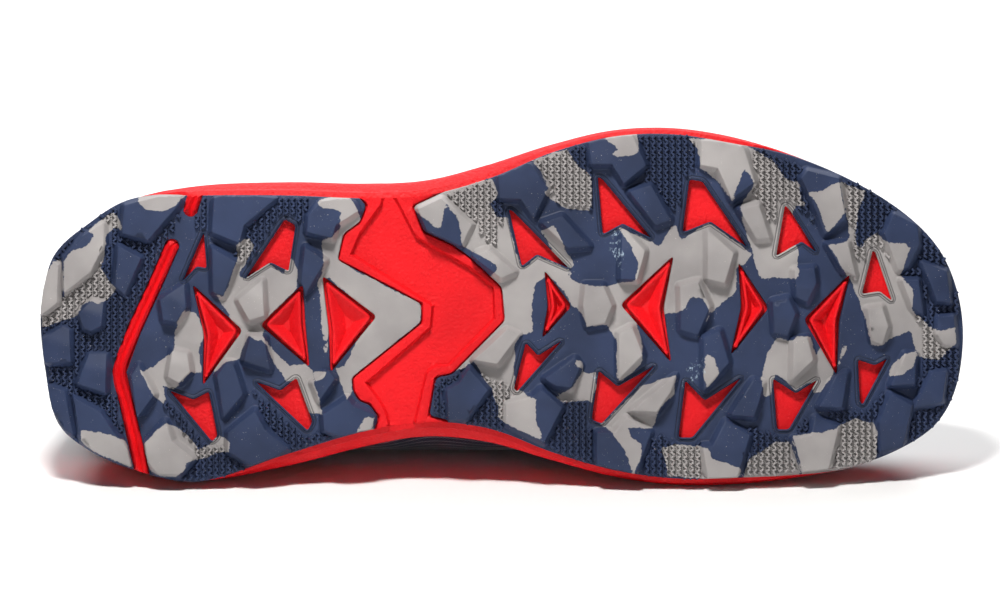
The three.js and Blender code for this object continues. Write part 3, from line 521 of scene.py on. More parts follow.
def makeRubber():
    look = Look("camoRubber", 0.6, Specular_IOR_Level=0.28)
    coarse = look.noise(240, 3)
    fine = look.noise(1100, 3)
    ragged = look.mark("grey") + (coarse - 0.5) * (2.6 * rubberLook["edge"]) + (fine - 0.5) * 0.9
    patch = look.step(ragged, 0.0, 0.22)
    tone = look.noise(55, 3)
    navy = look.blend(look.step(tone, 0.5, 0.5), colour(rubberLook["navyDeep"]), colour(rubberLook["navy"]))
    grey = look.blend(look.step(tone, 0.5, 0.5), colour(rubberLook["greyDeep"]), colour(rubberLook["grey"]))
    both = look.blend(patch, navy, grey)
    rubbed = look.mark("scuff") * 0.6 + (look.noise(520, 5, rough=0.8) - 0.5) * 2.6
    scuff = look.step(rubbed, 0.79, 0.24)
    scuffed = look.blend(scuff * 0.7, both, colour(rubberLook["scuff"]))
    specks = look.step(look.noise(2600, 1), 0.755, 0.03) * look.step(look.noise(130, 2), 0.52, 0.1)
    look.feed("Roughness", 0.52 + tone * 0.12 + scuff * 0.2)
    # Dark double lines round each window rim: painted shade in its grooves, laid over the bump that sinks them
    rim = look.mark("rim")
    lines = [1 - look.step(look.maths("ABSOLUTE", rim - d), 0.15, 0.14) for d in rubberLook["rimLines"]]
    line = look.maths("MAXIMUM", *lines)
    dusty = look.blend(specks * 0.8, scuffed, colour(rubberLook["dust"]))
    look.feed("Base Color", look.blend(line * 0.55, dusty, colour(rubberLook["grooveShade"])))
    look.bump((look.noise(2300, 3), 0.05, 0.35), (look.noise(420, 2), 0.12, 0.25), (1 - line, 0.3, 0.8))
    return look.material


foamLook = {"red": "dc121b", "redDeep": "c80e17", "worn": "e8484e"}


def makeFoam():
    look = Look("redFoam", 0.55, Specular_IOR_Level=0.2)
    tone = look.noise(38, 3)
    grain = look.noise(800, 4, rough=0.7)
    red = look.blend(look.step(tone, 0.5, 0.45), colour(foamLook["redDeep"]), colour(foamLook["red"]))
    specks = look.step(look.noise(2100, 1), 0.74, 0.04) * look.step(look.noise(90, 2), 0.5, 0.12)
    look.feed("Base Color", look.blend(specks * 0.5, red, colour(foamLook["worn"])))
    look.feed("Roughness", 0.4 + grain * 0.22)
    leather = look.node("ShaderNodeTexVoronoi", {"feature": "SMOOTH_F1"}, {
        "Vector": look.place(), "Scale": 1050.0, "Smoothness": 0.6}, "Distance")
    look.bump((grain, 0.3, 0.8), (leather, 0.2, 0.7), (look.noise(260, 2), 0.3, 0.4))
    return look.material


rubber = makeRubber()
foam = makeFoam()
print("materials of the sole")

# What is charted on the sole, in squares from the heel and from the middle line
heelFront = [
    (312, -220), (312, -139), (320, -128), (328, -120), (321, -103), (305, -92), (299, -65),
    (383, -21), (383, -3), (313, 53), (315, 68), (321, 77), (331, 80), (340, 93), (336, 105),
    (308, 114), (302, 135), (302, 220)]
forefootBack = [
    (407, -220), (407, -134), (375, -119), (386, -94), (414, -81), (431, -69), (464, -38),
    (467, -4), (414, 50), (398, 53), (391, 91), (409, 95), (422, 125), (422, 220)]
archPanel = [
    (357, -170), (357, -129), (377, -90), (386, -84), (431, -59), (456, -38), (457, -6), (411, 41),
    (396, 42), (389, 48), (377, 99), (377, 160), (350, 160), (350, 99), (346, 85), (339, 74),
    (327, 58), (392, 2), (394, -19), (312, -71), (321, -92), (343, -122), (344, -170)]
heelGroove = [(133, -79), (116, -40), (95, 5), (80, 47), (88, 82), (102, 143), (112, 210)]
heelNotch = [(166, -200), (161, -145), (152, -116)]
grooveWidth = 4.8
windows = {
    "heel": [
        [(165, -93), (168, -57), (158, -59), (144, -44)],
        [(246, -106), (257, -100), (250, -54), (232, -63), (207, -47)],
        [(131, 66), (155, 75), (170, 67), (179, 111), (173, 117)],
        [(217, 57), (242, 66), (258, 53), (274, 97), (269, 106)]],
    "forefoot": [
        [(471, -116), (475, -114), (531, -57), (499, -71), (484, -59)],
        [(560, -149), (565, -146), (614, -87), (585, -102), (565, -91)],
        [(652, -146), (665, -144), (710, -78), (673, -104), (645, -93)],
        [(748, -120), (752, -117), (780, -73), (765, -84), (739, -69)],
        [(837, -75), (840, -73), (857, -24), (844, -34), (826, -31)],
        [(488, 18), (500, 31), (524, 16), (479, 67), (476, 64)],
        [(561, 46), (580, 62), (617, 41), (564, 99), (554, 95)],
        [(648, 56), (667, 76), (704, 53), (655, 113), (641, 113)],
        [(736, 54), (759, 69), (781, 55), (752, 105), (740, 105)],
        [(822, 35), (839, 41), (852, 34), (827, 80), (824, 78)]],
}
pods = {
    "heel": [
        [(157, -35), (199, 6), (166, 55), (169, 9)],
        [(262, -35), (263, 0), (268, 37), (227, 0)],
        [(287, -44), (333, -8), (294, 42), (294, 3)]],
    "forefoot": [
        [(509, -49), (529, -19), (507, 8), (514, -18)],
        [(633, -64), (622, -17), (631, 32), (588, -20)],
        [(703, -57), (727, -17), (696, 25), (708, -18)],
        [(811, -46), (799, -4), (799, 45), (772, -5)]],
}
# Tops of the lugs
lugs = {
    "heel": [
        [(65, -103), (65, -79), (52, -53), (25, -32), (25, -68), (44, -89)],
        [(13, -65), (19, -60), (18, -22), (1, -9), (2, -40)],
        [(86, -120), (145, -135), (140, -120), (110, -85), (84, -92)],
        [(80, -79), (103, -67), (86, -30), (77, -39)],
        [(40, -12), (54, -26), (65, -22), (63, 1), (52, 6), (45, 3)],
        [(3, 14), (23, 2), (30, 5), (32, 37), (4, 38)],
        [(50, 29), (68, 29), (67, 68), (39, 59)],
        [(8, 60), (26, 67), (34, 110), (25, 105), (10, 80)],
        [(35, 73), (62, 87), (75, 107), (88, 122), (95, 143), (61, 131), (42, 115)],
        [(93, 51), (100, 40), (116, 70), (99, 93)],
        [(107, 118), (127, 96), (134, 117), (156, 134), (142, 150), (120, 149), (109, 137)],
        [(122, -25), (146, -41), (148, -17), (138, -3), (125, -5)],
        [(134, 25), (149, 29), (152, 47), (141, 58), (130, 52)],
        [(176, -127), (190, -132), (238, -127), (206, -100), (201, -82), (174, -93)],
        [(174, -77), (198, -63), (185, -29), (175, -33)],
        [(200, -25), (224, -45), (226, -9), (211, -5)],
        [(270, -109), (284, -124), (312, -128), (320, -114), (298, -100), (294, -87), (269, -93)],
        [(267, -78), (287, -64), (267, -30), (263, -43)],
        [(212, 11), (226, 13), (232, 45), (206, 36)],
        [(179, 51), (188, 38), (195, 39), (205, 69), (186, 92)],
        [(190, 108), (217, 86), (227, 105), (250, 124), (218, 143), (190, 127)],
        [(274, 58), (290, 45), (297, 54), (281, 76)],
        [(285, 90), (309, 74), (315, 81), (337, 91), (333, 104), (305, 112), (286, 105)]],
    "forefoot": [
        [(380, -116), (403, -127), (434, -101), (423, -79), (389, -94)],
        [(434, -69), (451, -76), (477, -53), (463, -47)],
        [(460, -149), (490, -165), (510, -137), (496, -107), (483, -126), (462, -127)],
        [(504, -102), (524, -109), (552, -79), (530, -77)],
        [(550, -183), (587, -194), (594, -191), (608, -160), (586, -142), (574, -161), (554, -161)],
        [(592, -133), (613, -140), (633, -105), (618, -100)],
        [(584, -97), (590, -93), (607, -74), (599, -45), (583, -46)],
        [(664, -185), (705, -181), (717, -143), (694, -126), (680, -157), (663, -160)],
        [(701, -116), (721, -121), (732, -87), (719, -86)],
        [(764, -147), (770, -155), (802, -147), (809, -106), (788, -91), (772, -131)],
        [(790, -81), (811, -82), (819, -49), (804, -56)],
        [(670, -95), (696, -72), (687, -42), (670, -46)],
        [(642, -39), (661, -44), (672, -18), (660, 10), (643, 5)],
        [(547, -40), (565, -40), (574, -19), (567, -2), (549, 2), (545, -20)],
        [(581, 9), (594, 2), (605, 30), (581, 54)],
        [(507, 54), (537, 33), (543, 41), (533, 63), (518, 61)],
        [(666, 13), (682, 6), (691, 38), (666, 66)],
        [(735, -23), (751, -27), (758, -11), (750, 11), (737, 8)],
        [(756, 16), (770, 13), (776, 35), (755, 55)],
        [(831, -16), (846, -18), (852, 2), (846, 20), (836, 16), (833, 0)],
        [(693, 90), (716, 55), (726, 58), (722, 75), (716, 92)],
        [(559, 108), (576, 108), (589, 93), (613, 108), (598, 149), (559, 140)],
        [(594, 86), (617, 67), (638, 51), (633, 67), (619, 87)],
        [(665, 122), (675, 121), (688, 96), (712, 111), (699, 154), (670, 154)],
        [(756, 115), (774, 111), (778, 93), (802, 102), (791, 147), (766, 151)],
        [(782, 82), (800, 50), (811, 48), (805, 83)],
        [(855, 61), (870, 29), (881, 30), (879, 59)],
        [(843, 98), (855, 69), (876, 81), (867, 123), (846, 127)],
        [(879, 84), (897, 49), (912, 47), (907, 78)],
        [(848, -92), (858, -112), (882, -100), (884, -80), (873, -58), (863, -55), (852, -82)],
        [(887, -63), (912, -54), (916, -23), (902, -24)],
        [(866, -45), (883, -45), (888, -11), (877, -17)],
        [(903, -7), (919, -9), (922, 20), (909, 19), (902, 10)],
        [(757, -55), (777, -57), (779, -42), (770, -23), (759, -28)],
        [(409, 65), (421, 59), (431, 44), (450, 65), (428, 95), (411, 95)],
        [(436, 35), (469, 5), (481, 10), (459, 39)],
        [(468, 79), (495, 72), (503, 64), (524, 83), (506, 118), (468, 99)]],
}
# Grey patches of the rubber, and navy marks that lie on them
greyPatches = [
    [(46, -94), (75, -113), (82, -104), (85, -94), (76, -98), (67, -89), (66, -70), (61, -57), (70, -45),
     (77, -37), (70, -28), (61, -20), (53, -24), (42, -20), (39, -10), (20, -4), (2, 2), (0, -25), (5, -50),
     (13, -64), (22, -65), (25, -45), (22, -27), (25, -29), (25, -63), (34, -75), (50, -81), (57, -92)],
    [(99, -129), (147, -136), (148, -132), (137, -120), (129, -115), (116, -114), (106, -116), (100, -123)],
    [(42, 105), (61, 108), (76, 112), (86, 116), (91, 125), (96, 144), (76, 136), (55, 127), (44, 119)],
    [(129, 98), (148, 110), (160, 125), (171, 119), (181, 111), (191, 117), (190, 127), (177, 129),
     (165, 134), (148, 138), (146, 146), (137, 152), (122, 152), (110, 144), (105, 121), (116, 107)],
    [(139, -3), (147, -15), (158, -12), (167, 7), (160, 24), (162, 47), (152, 48), (144, 56), (135, 65),
     (124, 60), (127, 79), (116, 72), (108, 58), (97, 41), (106, 47), (118, 39), (135, 26), (137, 9)],
    [(198, -81), (209, -87), (215, -79), (207, -62), (200, -50), (207, -46), (226, -64), (245, -52),
     (253, -67), (260, -54), (259, -37), (245, -24), (230, -8), (226, 1), (224, 11), (234, 26), (251, 41),
     (268, 38), (274, 47), (284, 90), (268, 87), (258, 56), (248, 56), (245, 51), (234, 35), (228, 20),
     (211, 11), (205, 20), (200, 34), (188, 37), (175, 49), (177, 39), (194, 18), (199, 7), (194, -3),
     (181, -24), (173, -33), (185, -29), (191, -41), (199, -64)],
    [(279, -124), (292, -129), (309, -129), (317, -122), (323, -104), (306, -92), (300, -64), (383, -21),
     (383, -3), (314, 53), (314, 66), (309, 74), (303, 58), (297, 44), (305, 42), (333, -8), (290, -48),
     (286, -42), (291, 0), (289, 25), (287, 30), (283, 0), (282, -30), (278, -40), (286, -60), (285, -72),
     (283, -84), (296, -92), (303, -112), (296, -117), (282, -116)],
    [(326, 91), (337, 92), (334, 105), (318, 108), (322, 100)],
    [(273, 47), (290, 46), (287, 52), (278, 57)],
    [(370, -120), (386, -129), (408, -135), (454, -147), (460, -132), (452, -121), (459, -109), (469, -108),
     (476, -79), (484, -55), (500, -69), (539, -52), (525, -51), (546, -40), (568, -38), (585, -43),
     (597, -42), (601, -63), (592, -80), (582, -97), (607, -87), (622, -79), (637, -102), (644, -85),
     (671, -103), (715, -72), (707, -61), (699, -57), (700, -35), (679, -17), (668, -3), (666, -25),
     (657, -29), (652, -28), (646, -15), (632, -11), (599, -3), (604, 20), (604, 37), (584, 57), (579, 53),
     (579, 15), (568, 0), (549, 2), (545, -11), (534, -20), (525, -35), (518, -44), (508, -49), (497, -40),
     (494, -20), (495, 6), (481, 12), (476, 20), (477, 63), (490, 72), (498, 74), (497, 96), (507, 117),
     (468, 99), (459, 92), (461, 86), (452, 61), (435, 37), (427, 41), (410, 50), (400, 40), (460, -60),
     (414, -85)],
    [(494, -165), (529, -177), (536, -164), (553, -149), (555, -130), (551, -115), (529, -117),
     (517, -123), (507, -132), (510, -137), (501, -157)],
    [(503, -94), (517, -100), (520, -89), (532, -67), (539, -53), (522, -63)],
    [(567, -187), (589, -196), (600, -193), (601, -173), (595, -169), (580, -169), (573, -171), (580, -176)],
    [(650, -187), (663, -187), (705, -183), (736, -165), (749, -147), (763, -142), (764, -125), (770, -120),
     (758, -120), (750, -95), (761, -76), (760, -46), (739, -48), (722, -46), (718, -64), (702, -117),
     (717, -139), (707, -160), (695, -125), (678, -147), (663, -157), (660, -178)],
    [(772, -132), (785, -135), (802, -143), (809, -113), (790, -91), (787, -101), (780, -120)],
    [(803, -143), (829, -135), (821, -113), (819, -95), (822, -75), (832, -87), (842, -93), (852, -82),
     (867, -82), (875, -78), (870, -62), (865, -50), (877, -35), (877, -16), (899, 5), (907, 5), (920, 3),
     (923, 18), (904, 35), (884, 32), (875, 6), (855, 13), (848, 21), (836, 21), (832, 2), (824, -23),
     (817, -40), (792, -79), (809, -84), (814, -90), (810, -110)],
    [(853, 47), (867, 30), (882, 26), (878, 42), (867, 49), (855, 52)],
    [(667, 30), (675, 30), (681, 49), (669, 64), (666, 52)],
    [(732, 25), (740, 14), (755, 16), (762, 11), (774, 13), (779, 32), (786, 20), (800, 43), (808, 20),
     (811, 21), (804, 39), (798, 48), (785, 67), (777, 68), (774, 57), (759, 65), (749, 57), (738, 47),
     (734, 70), (726, 72), (724, 53), (728, 37)],
    [(756, 112), (775, 107), (787, 109), (802, 102), (817, 95), (836, 98), (841, 107), (840, 135),
     (822, 145), (797, 150), (768, 155), (762, 140)],
    [(706, 153), (711, 136), (727, 125), (739, 117), (754, 118), (765, 155), (709, 154)],
    [(624, 124), (637, 120), (665, 122), (673, 123), (673, 134), (690, 139), (705, 144), (698, 158),
     (669, 155), (630, 151)],
    [(563, 100), (582, 83), (604, 61), (624, 54), (639, 51), (636, 69), (622, 83), (614, 105), (602, 103),
     (591, 102), (591, 112), (603, 121), (602, 135), (595, 152), (589, 133), (581, 118), (573, 106)],
    [(532, 37), (545, 35), (545, 47), (534, 63), (518, 70), (523, 78), (540, 75), (554, 77), (559, 60),
     (558, 47), (550, 49)],
]
navyMarks = [
    [(408, -121), (420, -108), (424, -78), (393, -91), (402, -98)],
    [(281, -108), (295, -110), (303, -106), (301, -95), (290, -86), (281, -88)],
    [(652, -15), (662, -28), (668, -24), (672, -12), (663, 8), (655, 6)],
    [(507, 54), (537, 35), (540, 41), (530, 60), (518, 61)],
    [(598, 108), (606, 106), (612, 112), (604, 114)],
]
scuffs = [[(560, -95), (585, -100), (592, -60), (583, -50), (570, -70)],
          [(652, 35), (668, 30), (672, 48), (655, 62), (640, 66)],
          [(558, 28), (566, 40), (560, 62), (552, 55)], [(770, -120), (780, -112), (776, -98), (770, -105)]]
# Stretches of the base that carry the fine zigzag tread
treadZones = {
    "heel": [
        [(-20, -140), (150, -150), (150, -128), (130, -88), (84, 20), (70, 50), (100, 160), (-20, 160)],
        [(146, -130), (172, -130), (176, -78), (160, -95)],
        [(203, -100), (240, -127), (268, -128), (268, -100), (245, -112), (208, -60), (196, -70)],
        [(122, 76), (134, 76), (178, 122), (200, 125), (225, 140), (190, 158), (130, 158), (160, 125)],
        [(214, 62), (222, 66), (268, 110), (285, 108), (300, 114), (260, 130), (225, 100)]],
    "forefoot": [
        [(408, -135), (460, -150), (462, -125), (478, -120), (462, -102), (456, -80), (436, -98)],
        [(492, -166), (552, -184), (554, -116), (520, -122), (510, -138)],
        [(596, -192), (664, -188), (664, -158), (650, -154), (642, -110), (612, -130)],
        [(706, -183), (764, -160), (784, -100), (750, -124), (734, -100), (718, -130)],
        [(766, -160), (860, -135), (930, -60), (934, 40), (890, 100), (880, 60), (890, 10), (860, -60),
         (838, -82), (822, -60), (812, -110), (800, -150)],
        [(386, 50), (420, 40), (440, 48), (476, 62), (500, 78), (460, 110), (390, 100)],
        [(520, 76), (552, 76), (552, 98), (560, 106), (558, 140), (510, 124)],
        [(610, 102), (640, 120), (665, 118), (672, 158), (604, 154)],
        [(700, 98), (736, 110), (770, 92), (766, 156), (704, 158)],
        [(790, 84), (822, 86), (846, 70), (850, 130), (796, 152)],
        [(860, 130), (880, 80), (890, 40), (935, 40), (915, 90)]],
}


def patchDepth(points, patches):
    depth = np.full(len(points), -20.0)
    for patch in patches:
        loop = onChart(patch)
        near = np.all((points > loop.min(0) - 6) & (points < loop.max(0) + 6), axis=1)
        if near.any():
            depth[near] = np.maximum(depth[near], depthIn(points[near], loop))
    return depth


def rubberMarks(points):
    flat = np.asarray(points)[:, :2]
    grey = np.minimum(patchDepth(flat, greyPatches), -patchDepth(flat, navyMarks))
    scuff = np.clip(patchDepth(flat, scuffs) / 4 + 0.6, 0, 1)
    loops = [loop for name in windows for loop in holesOf(name)[0]]
    return {"grey": grey, "scuff": scuff, "rim": np.minimum(nearest(flat, loops), 4)}


# The sole's outline in plan
outlineSteps = 12  # places to each row of the table
outlinePlaces = np.arange(0, turns, 1 / outlineSteps)


def treadEdge(s):
    return edgePoint(s, at("lip", s), 0)[:, :2]


def rubberCover(s):
    # rubber is this thick where it wraps the heel and the toe
    return 1.2 * np.clip(at("skirt", s) / 2, 0, 1)


def slotLoop(path, width):
    # an outline round a line, with a half circle at each end
    run = onChart(path)
    tangent = unit(np.gradient(run, axis=0))
    side = np.stack([-tangent[:, 1], tangent[:, 0]], -1) * width / 2

    def cap(end, inwards):
        turn = math.atan2(inwards[1], inwards[0])
        angles = np.linspace(turn - math.pi / 2, turn - 3 * math.pi / 2, 7)[1:-1]
        return [end + width / 2 * np.array([math.cos(a), math.sin(a)]) for a in angles]

    return anticlockwise(np.concatenate([run + side, cap(run[-1], -tangent[-1]), (run - side)[::-1],
                                         cap(run[0], tangent[0])]))


def curveThrough(points, steps):
    points = np.array(points, float)
    padded = np.concatenate([[2 * points[0] - points[1]], points, [2 * points[-1] - points[-2]]])
    out = []
    for i in range(1, len(padded) - 2):
        out += [between(*padded[i - 1:i + 3], f) for f in np.arange(steps) / steps]
    return np.array(out + [points[-1]])


def evenly(line, step):
    run = np.concatenate([[0], np.cumsum(np.linalg.norm(np.diff(line, axis=0), axis=1))])
    marks = np.linspace(0, run[-1], max(2, int(run[-1] / step)))
    return np.stack([np.interp(marks, run, line[:, k]) for k in range(line.shape[1])], -1)


def beside(line, distance):
    run = unit(np.gradient(line, axis=0))
    return line + np.stack([-run[:, 1], run[:, 0]], -1) * distance


def roundedPath(points, radius, step=0.8):
    # as rounded, for a line with two ends
    loop = rounded(np.concatenate([points, points[-2:0:-1]]), radius, step)
    first, final = (int(np.argmin(np.hypot(*(loop - end).T))) for end in (points[0], points[-1]))
    run = np.roll(loop, -first, 0)[:(final - first) % len(loop) + 1]
    return np.concatenate([[points[0]], run[1:-1], [points[-1]]])


chains = {"heel": onChart(heelFront), "forefoot": onChart(forefootBack)}
far = {"heel": onChart([(-60, 220), (-60, -220)]), "forefoot": onChart([(1116, 220), (1116, -220)])}
areas = {"heel": np.concatenate([far["heel"], chains["heel"]]),
         "forefoot": np.concatenate([chains["forefoot"], far["forefoot"]])}
grooves = [curveThrough(onChart(path), 6) for path in (heelGroove, heelNotch)]
slots = {"heel": [slotLoop(path, grooveWidth) for path in (heelGroove, heelNotch)], "forefoot": []}


def inArea(s, name):
    return bool(inside(treadEdge(np.array([s])), areas[name])[0])


def crossing(outsidePlace, insidePlace, name):
    for _ in range(24):
        middle = (outsidePlace + insidePlace) / 2
        if inArea(middle, name):
            insidePlace = middle
        else:
            outsidePlace = middle
    return insidePlace


def podOutline(name):
    # the rubber's edge: along the sole's outline, and then back along its chain
    loop = treadEdge(outlinePlaces)
    found = inside(loop, areas[name])
    starts = [i for i in range(len(found)) if found[i] and not found[i - 1]]
    first = starts[0]
    run = [first + k for k in range(len(found)) if found[(first + k) % len(found)]]
    places = outlinePlaces[0] + np.array(run) / outlineSteps
    places = np.concatenate([[crossing(places[0] - 1 / outlineSteps, places[0], name)], places,
                             [crossing(places[-1] + 1 / outlineSteps, places[-1], name)]])
    edge = treadEdge(places)
    chain = chains[name] if name == "heel" else chains[name][::-1]
    chain = chain[inside(chain, loop)]
    back = roundedPath(np.concatenate([[edge[-1]], chain, [edge[0]]]), 1.5)[1:-1]
    return edge, places, back


kite = {"proud": 0.8, "valley": 4.0, "margin": 1.25, "rim": 0.85, "corner": 1.5, "notchShare": 0.42}
plateLook = {"round": 0.4, "rimHigh": 0.32, "rimWide": 0.7, "lineDeep": 0.16, "lineWide": 0.25,
             "cutDrop": 0.15, "cutWide": 0.3, "grid": 1.45, "gridFree": 2.1,
             "climb": (0, 0.06, 0.14, 0.25, 0.38, 0.52, 0.66, 0.8, 0.92, 1.0)}


def holesOf(name):
    cuts = [anticlockwise(rounded(onChart(loop), 0.9, 0.8)) for loop in windows[name]]
    gaps = [anticlockwise(rounded(offset(anticlockwise(onChart(loop)), kite["margin"]), 1.6, 0.8))
            for loop in pods[name]]
    return cuts, gaps


def plateHeight(points, edge, cuts, others):
    # the tread face of the rubber, with soft edges and a raised rim round each window
    d = np.minimum(edge, others)
    r = plateLook["round"]
    drop = np.where(d < r, r - np.sqrt(np.maximum(0, r * r - (r - np.clip(d, 0, r)) ** 2)), 0)
    wide = plateLook["rimWide"]
    rim = smooth(cuts, 0.0, 0.35) * (1 - smooth(cuts, wide - 0.25, wide + 0.15))
    line = np.exp(-((cuts - wide - 0.35) / plateLook["lineWide"]) ** 2)
    low = plateLook["cutDrop"] * np.maximum(0, 1 - cuts / plateLook["cutWide"])
    return faceZ(points[:, 0]) + drop - plateLook["rimHigh"] * rim + plateLook["lineDeep"] * line + low


def nearest(points, loops):
    best = np.full(len(points), 50.0)
    for loop in loops:
        close = np.all((points > loop.min(0) - 4) & (points < loop.max(0) + 4), axis=1)
        if close.any():
            best[close] = np.minimum(best[close], pathDistance(points[close], loop))
    return best


def anyInside(points, loops):
    found = np.zeros(len(points), bool)
    for loop in loops:
        found |= inside(points, loop)
    return found


def addStrip(shape, rows, keep, closed=True, flip=False):
    count = rows.shape[1]
    faces = []
    for face in gridFaces(rows.shape[0], count, closed):
        if keep[face[0] % count] and keep[face[1] % count]:
            faces.append(face[::-1] if flip else face)
    points = rows.reshape(-1, 3)
    shape.add(points, faces, **rubberMarks(points))


def wallRows(line, top):
    # from the plate's face down to its back
    return np.array([np.column_stack([line, mix(top, backZ(line[:, 0]), f)]) for f in (0, 0.5, 1)])


def makePlate(name):
    edge, places, back = podOutline(name)
    outer = np.concatenate([edge, back])
    cuts, gaps = holesOf(name)
    slot = slots[name]
    holes = cuts + gaps + slot
    shape = Shape()

    def room(points):
        inner = inside(points, outer) & ~anyInside(points, holes)
        size = np.minimum(pathDistance(points, outer), nearest(points, holes))
        return np.where(inner, size, -size)

    beads = [offset(loop, -d if loop is outer else d)
             for loop in [outer] + gaps + slot for d in (0.17, 0.5)]
    beads += [offset(loop, d) for loop in cuts for d in (0.18, 0.4, 0.65, 0.85, 1.1, 1.5)]
    near = np.concatenate(beads)
    near = near[room(near) > 0.12]
    grid = hexGrid(outer.min(0), outer.max(0), plateLook["grid"])
    grid = grid[room(grid) > 1.0]
    grid = grid[nearest(grid, cuts) > plateLook["gridFree"]]
    flat, faces = filled(outer, holes, np.concatenate([near, grid]))

    def height(points):
        return plateHeight(points, pathDistance(points, outer), nearest(points, cuts),
                           nearest(points, gaps + slot))

    shape.add(np.column_stack([flat, height(flat)]), faces, **rubberMarks(flat))
    # walls round the holes
    for loop in holes:
        addStrip(shape, wallRows(loop, height(loop)), inside(loop, outer), flip=True)
    # the outer side, which climbs round the heel and the toe
    s = places
    top = height(edge)
    high = backZ(at("x", s)) + at("skirt", s)
    rows = []
    for f in plateLook["climb"]:
        z = mix(top, high, f)
        rows.append(edgePoint(s, formInset(s, z) + 0.5 * np.clip(f - 0.92, 0, 1) ** 2, z))
    rows.append(edgePoint(s, formInset(s, high) + 0.25, high + 0.25))
    rows.append(edgePoint(s, formInset(s, high) + 1.3, high + 0.3))
    addStrip(shape, np.array(rows), ~anyInside(edge, slot), closed=False)
    # the side along the arch
    both = np.concatenate([edge[-1:], back, edge[:1]])
    addStrip(shape, wallRows(both, height(both)), np.ones(len(both), bool), closed=False)
    return shape, room


# Each level of a lug: how far it stands out from the tip's outline, and how deep it lies
lugLook = {"corner": 0.4, "step": 1.1, "facet": 1.7, "facetStart": 0.55, "grid": 1.6, "root": 4.2,
           "levels": [(-0.3, 0.0), (-0.1, 0.04), (0.02, 0.18), (0.8, 2.0), (1.35, 3.4), (1.6, 3.85),
                      (2.2, 4.1)]}


def makeLug(shape, outline, room):
    loop = anticlockwise(rounded(onChart(outline), lugLook["corner"], lugLook["step"]))
    middle = loop.mean(0)
    # what reaches past the plate is drawn in
    for _ in range(24):
        crossed = room(loop) < 0.3
        if not crossed.any():
            break
        loop[crossed] += (middle - loop[crossed]) * 0.05
    # the narrower end of the tip slopes away
    spread = loop - middle
    axis = np.linalg.eigh(spread.T @ spread)[1][:, 1]
    run = spread @ axis
    side = spread @ np.array([-axis[1], axis[0]])
    third = (run.max() - run.min()) / 3
    wide = [np.ptp(side[part]) for part in (run > run.max() - third, run < run.min() + third)]
    if wide[0] > wide[1]:
        axis, run = -axis, -run
    length = np.ptp(run)

    def slope(points):
        q = ((points - middle) @ axis - run.min()) / length
        return lugLook["facet"] * np.clip((q - lugLook["facetStart"]) / (1 - lugLook["facetStart"]), 0, 1.1)

    free = room(loop)
    fall = slope(loop)
    rows = []
    for grow, drop in lugLook["levels"]:
        widths = np.minimum(grow, np.maximum(0.04 * drop, free - 0.2))
        flat = loop + (offset(loop, 1.0) - loop) * widths[:, None]
        z = treadZ(flat[:, 0]) + drop + fall * (1 - drop / lugLook["root"])
        rows.append(np.column_stack([flat, z]))
    rows = np.array(rows)
    shape.grid(rows, closed=True, **rubberMarks(rows.reshape(-1, 3)))
    ring = rows[0][:, :2]
    grid = hexGrid(ring.min(0), ring.max(0), lugLook["grid"])
    grid = grid[depthIn(grid, ring) > 0.5]
    flat, faces = filled(ring, [], grid)
    shape.add(np.column_stack([flat, treadZ(flat[:, 0]) + slope(flat)]), faces, **rubberMarks(flat))


# Fine zigzag tread: short ribs, laid by Geometry Nodes on charted spots
treadLook = {"alongStep": 2.06, "acrossStep": 1.1, "ribLong": 1.88, "ribWide": 0.85, "ribHigh": 0.95,
             "angle": 48, "margin": 0.5, "sunk": 0.35, "fromCuts": 2.3, "fromGaps": 1.3, "fromLugs": 1.5}


class Growth:
    # a Geometry Nodes tree on one object, with named inputs
    def __init__(self, name, inputs):
        self.tree = bpy.data.node_groups.new(name, "GeometryNodeTree")
        self.tree.interface.new_socket("Geometry", in_out="INPUT", socket_type="NodeSocketGeometry")
        self.ids = {}
        for label, value in inputs.items():
            kind = "NodeSocketMaterial" if isinstance(value, bpy.types.Material) else "NodeSocketFloat"
            socket = self.tree.interface.new_socket(label, in_out="INPUT", socket_type=kind)
            self.ids[label] = socket.identifier
        self.tree.interface.new_socket("Geometry", in_out="OUTPUT", socket_type="NodeSocketGeometry")
        self.inputs = inputs
        self.start = self.tree.nodes.new("NodeGroupInput")
        self.end = self.tree.nodes.new("NodeGroupOutput")

    def given(self, label):
        return self.start.outputs[label]

    def node(self, kind, settings=None, **sockets):
        made = self.tree.nodes.new(kind)
        for key, value in (settings or {}).items():
            setattr(made, key, value)
        for key, value in sockets.items():
            socket = made.inputs[key.replace("_", " ")]
            if isinstance(value, bpy.types.NodeSocket):
                self.tree.links.new(value, socket)
            else:
                socket.default_value = value
        return made

    def named(self, name, kind="FLOAT"):
        made = self.node("GeometryNodeInputNamedAttribute", {"data_type": kind}, Name=name)
        return next(out for out in made.outputs if out.enabled and out.name == "Attribute")

    def grown(self, obj, geometryOut, name):
        realize = self.node("GeometryNodeRealizeInstances", Geometry=geometryOut)
        finish = self.node("GeometryNodeSetMaterial", Geometry=realize.outputs[0],
                           Material=self.given("Material"))
        self.tree.links.new(finish.outputs[0], self.end.inputs[0])
        modifier = obj.modifiers.new("growth", "NODES")
        modifier.node_group = self.tree
        for label, value in self.inputs.items():
            modifier[self.ids[label]] = value
        graph = bpy.context.evaluated_depsgraph_get()
        mesh = bpy.data.meshes.new_from_object(obj.evaluated_get(graph), depsgraph=graph)
        bpy.data.objects.remove(obj)
        mesh.name = name
        return mesh


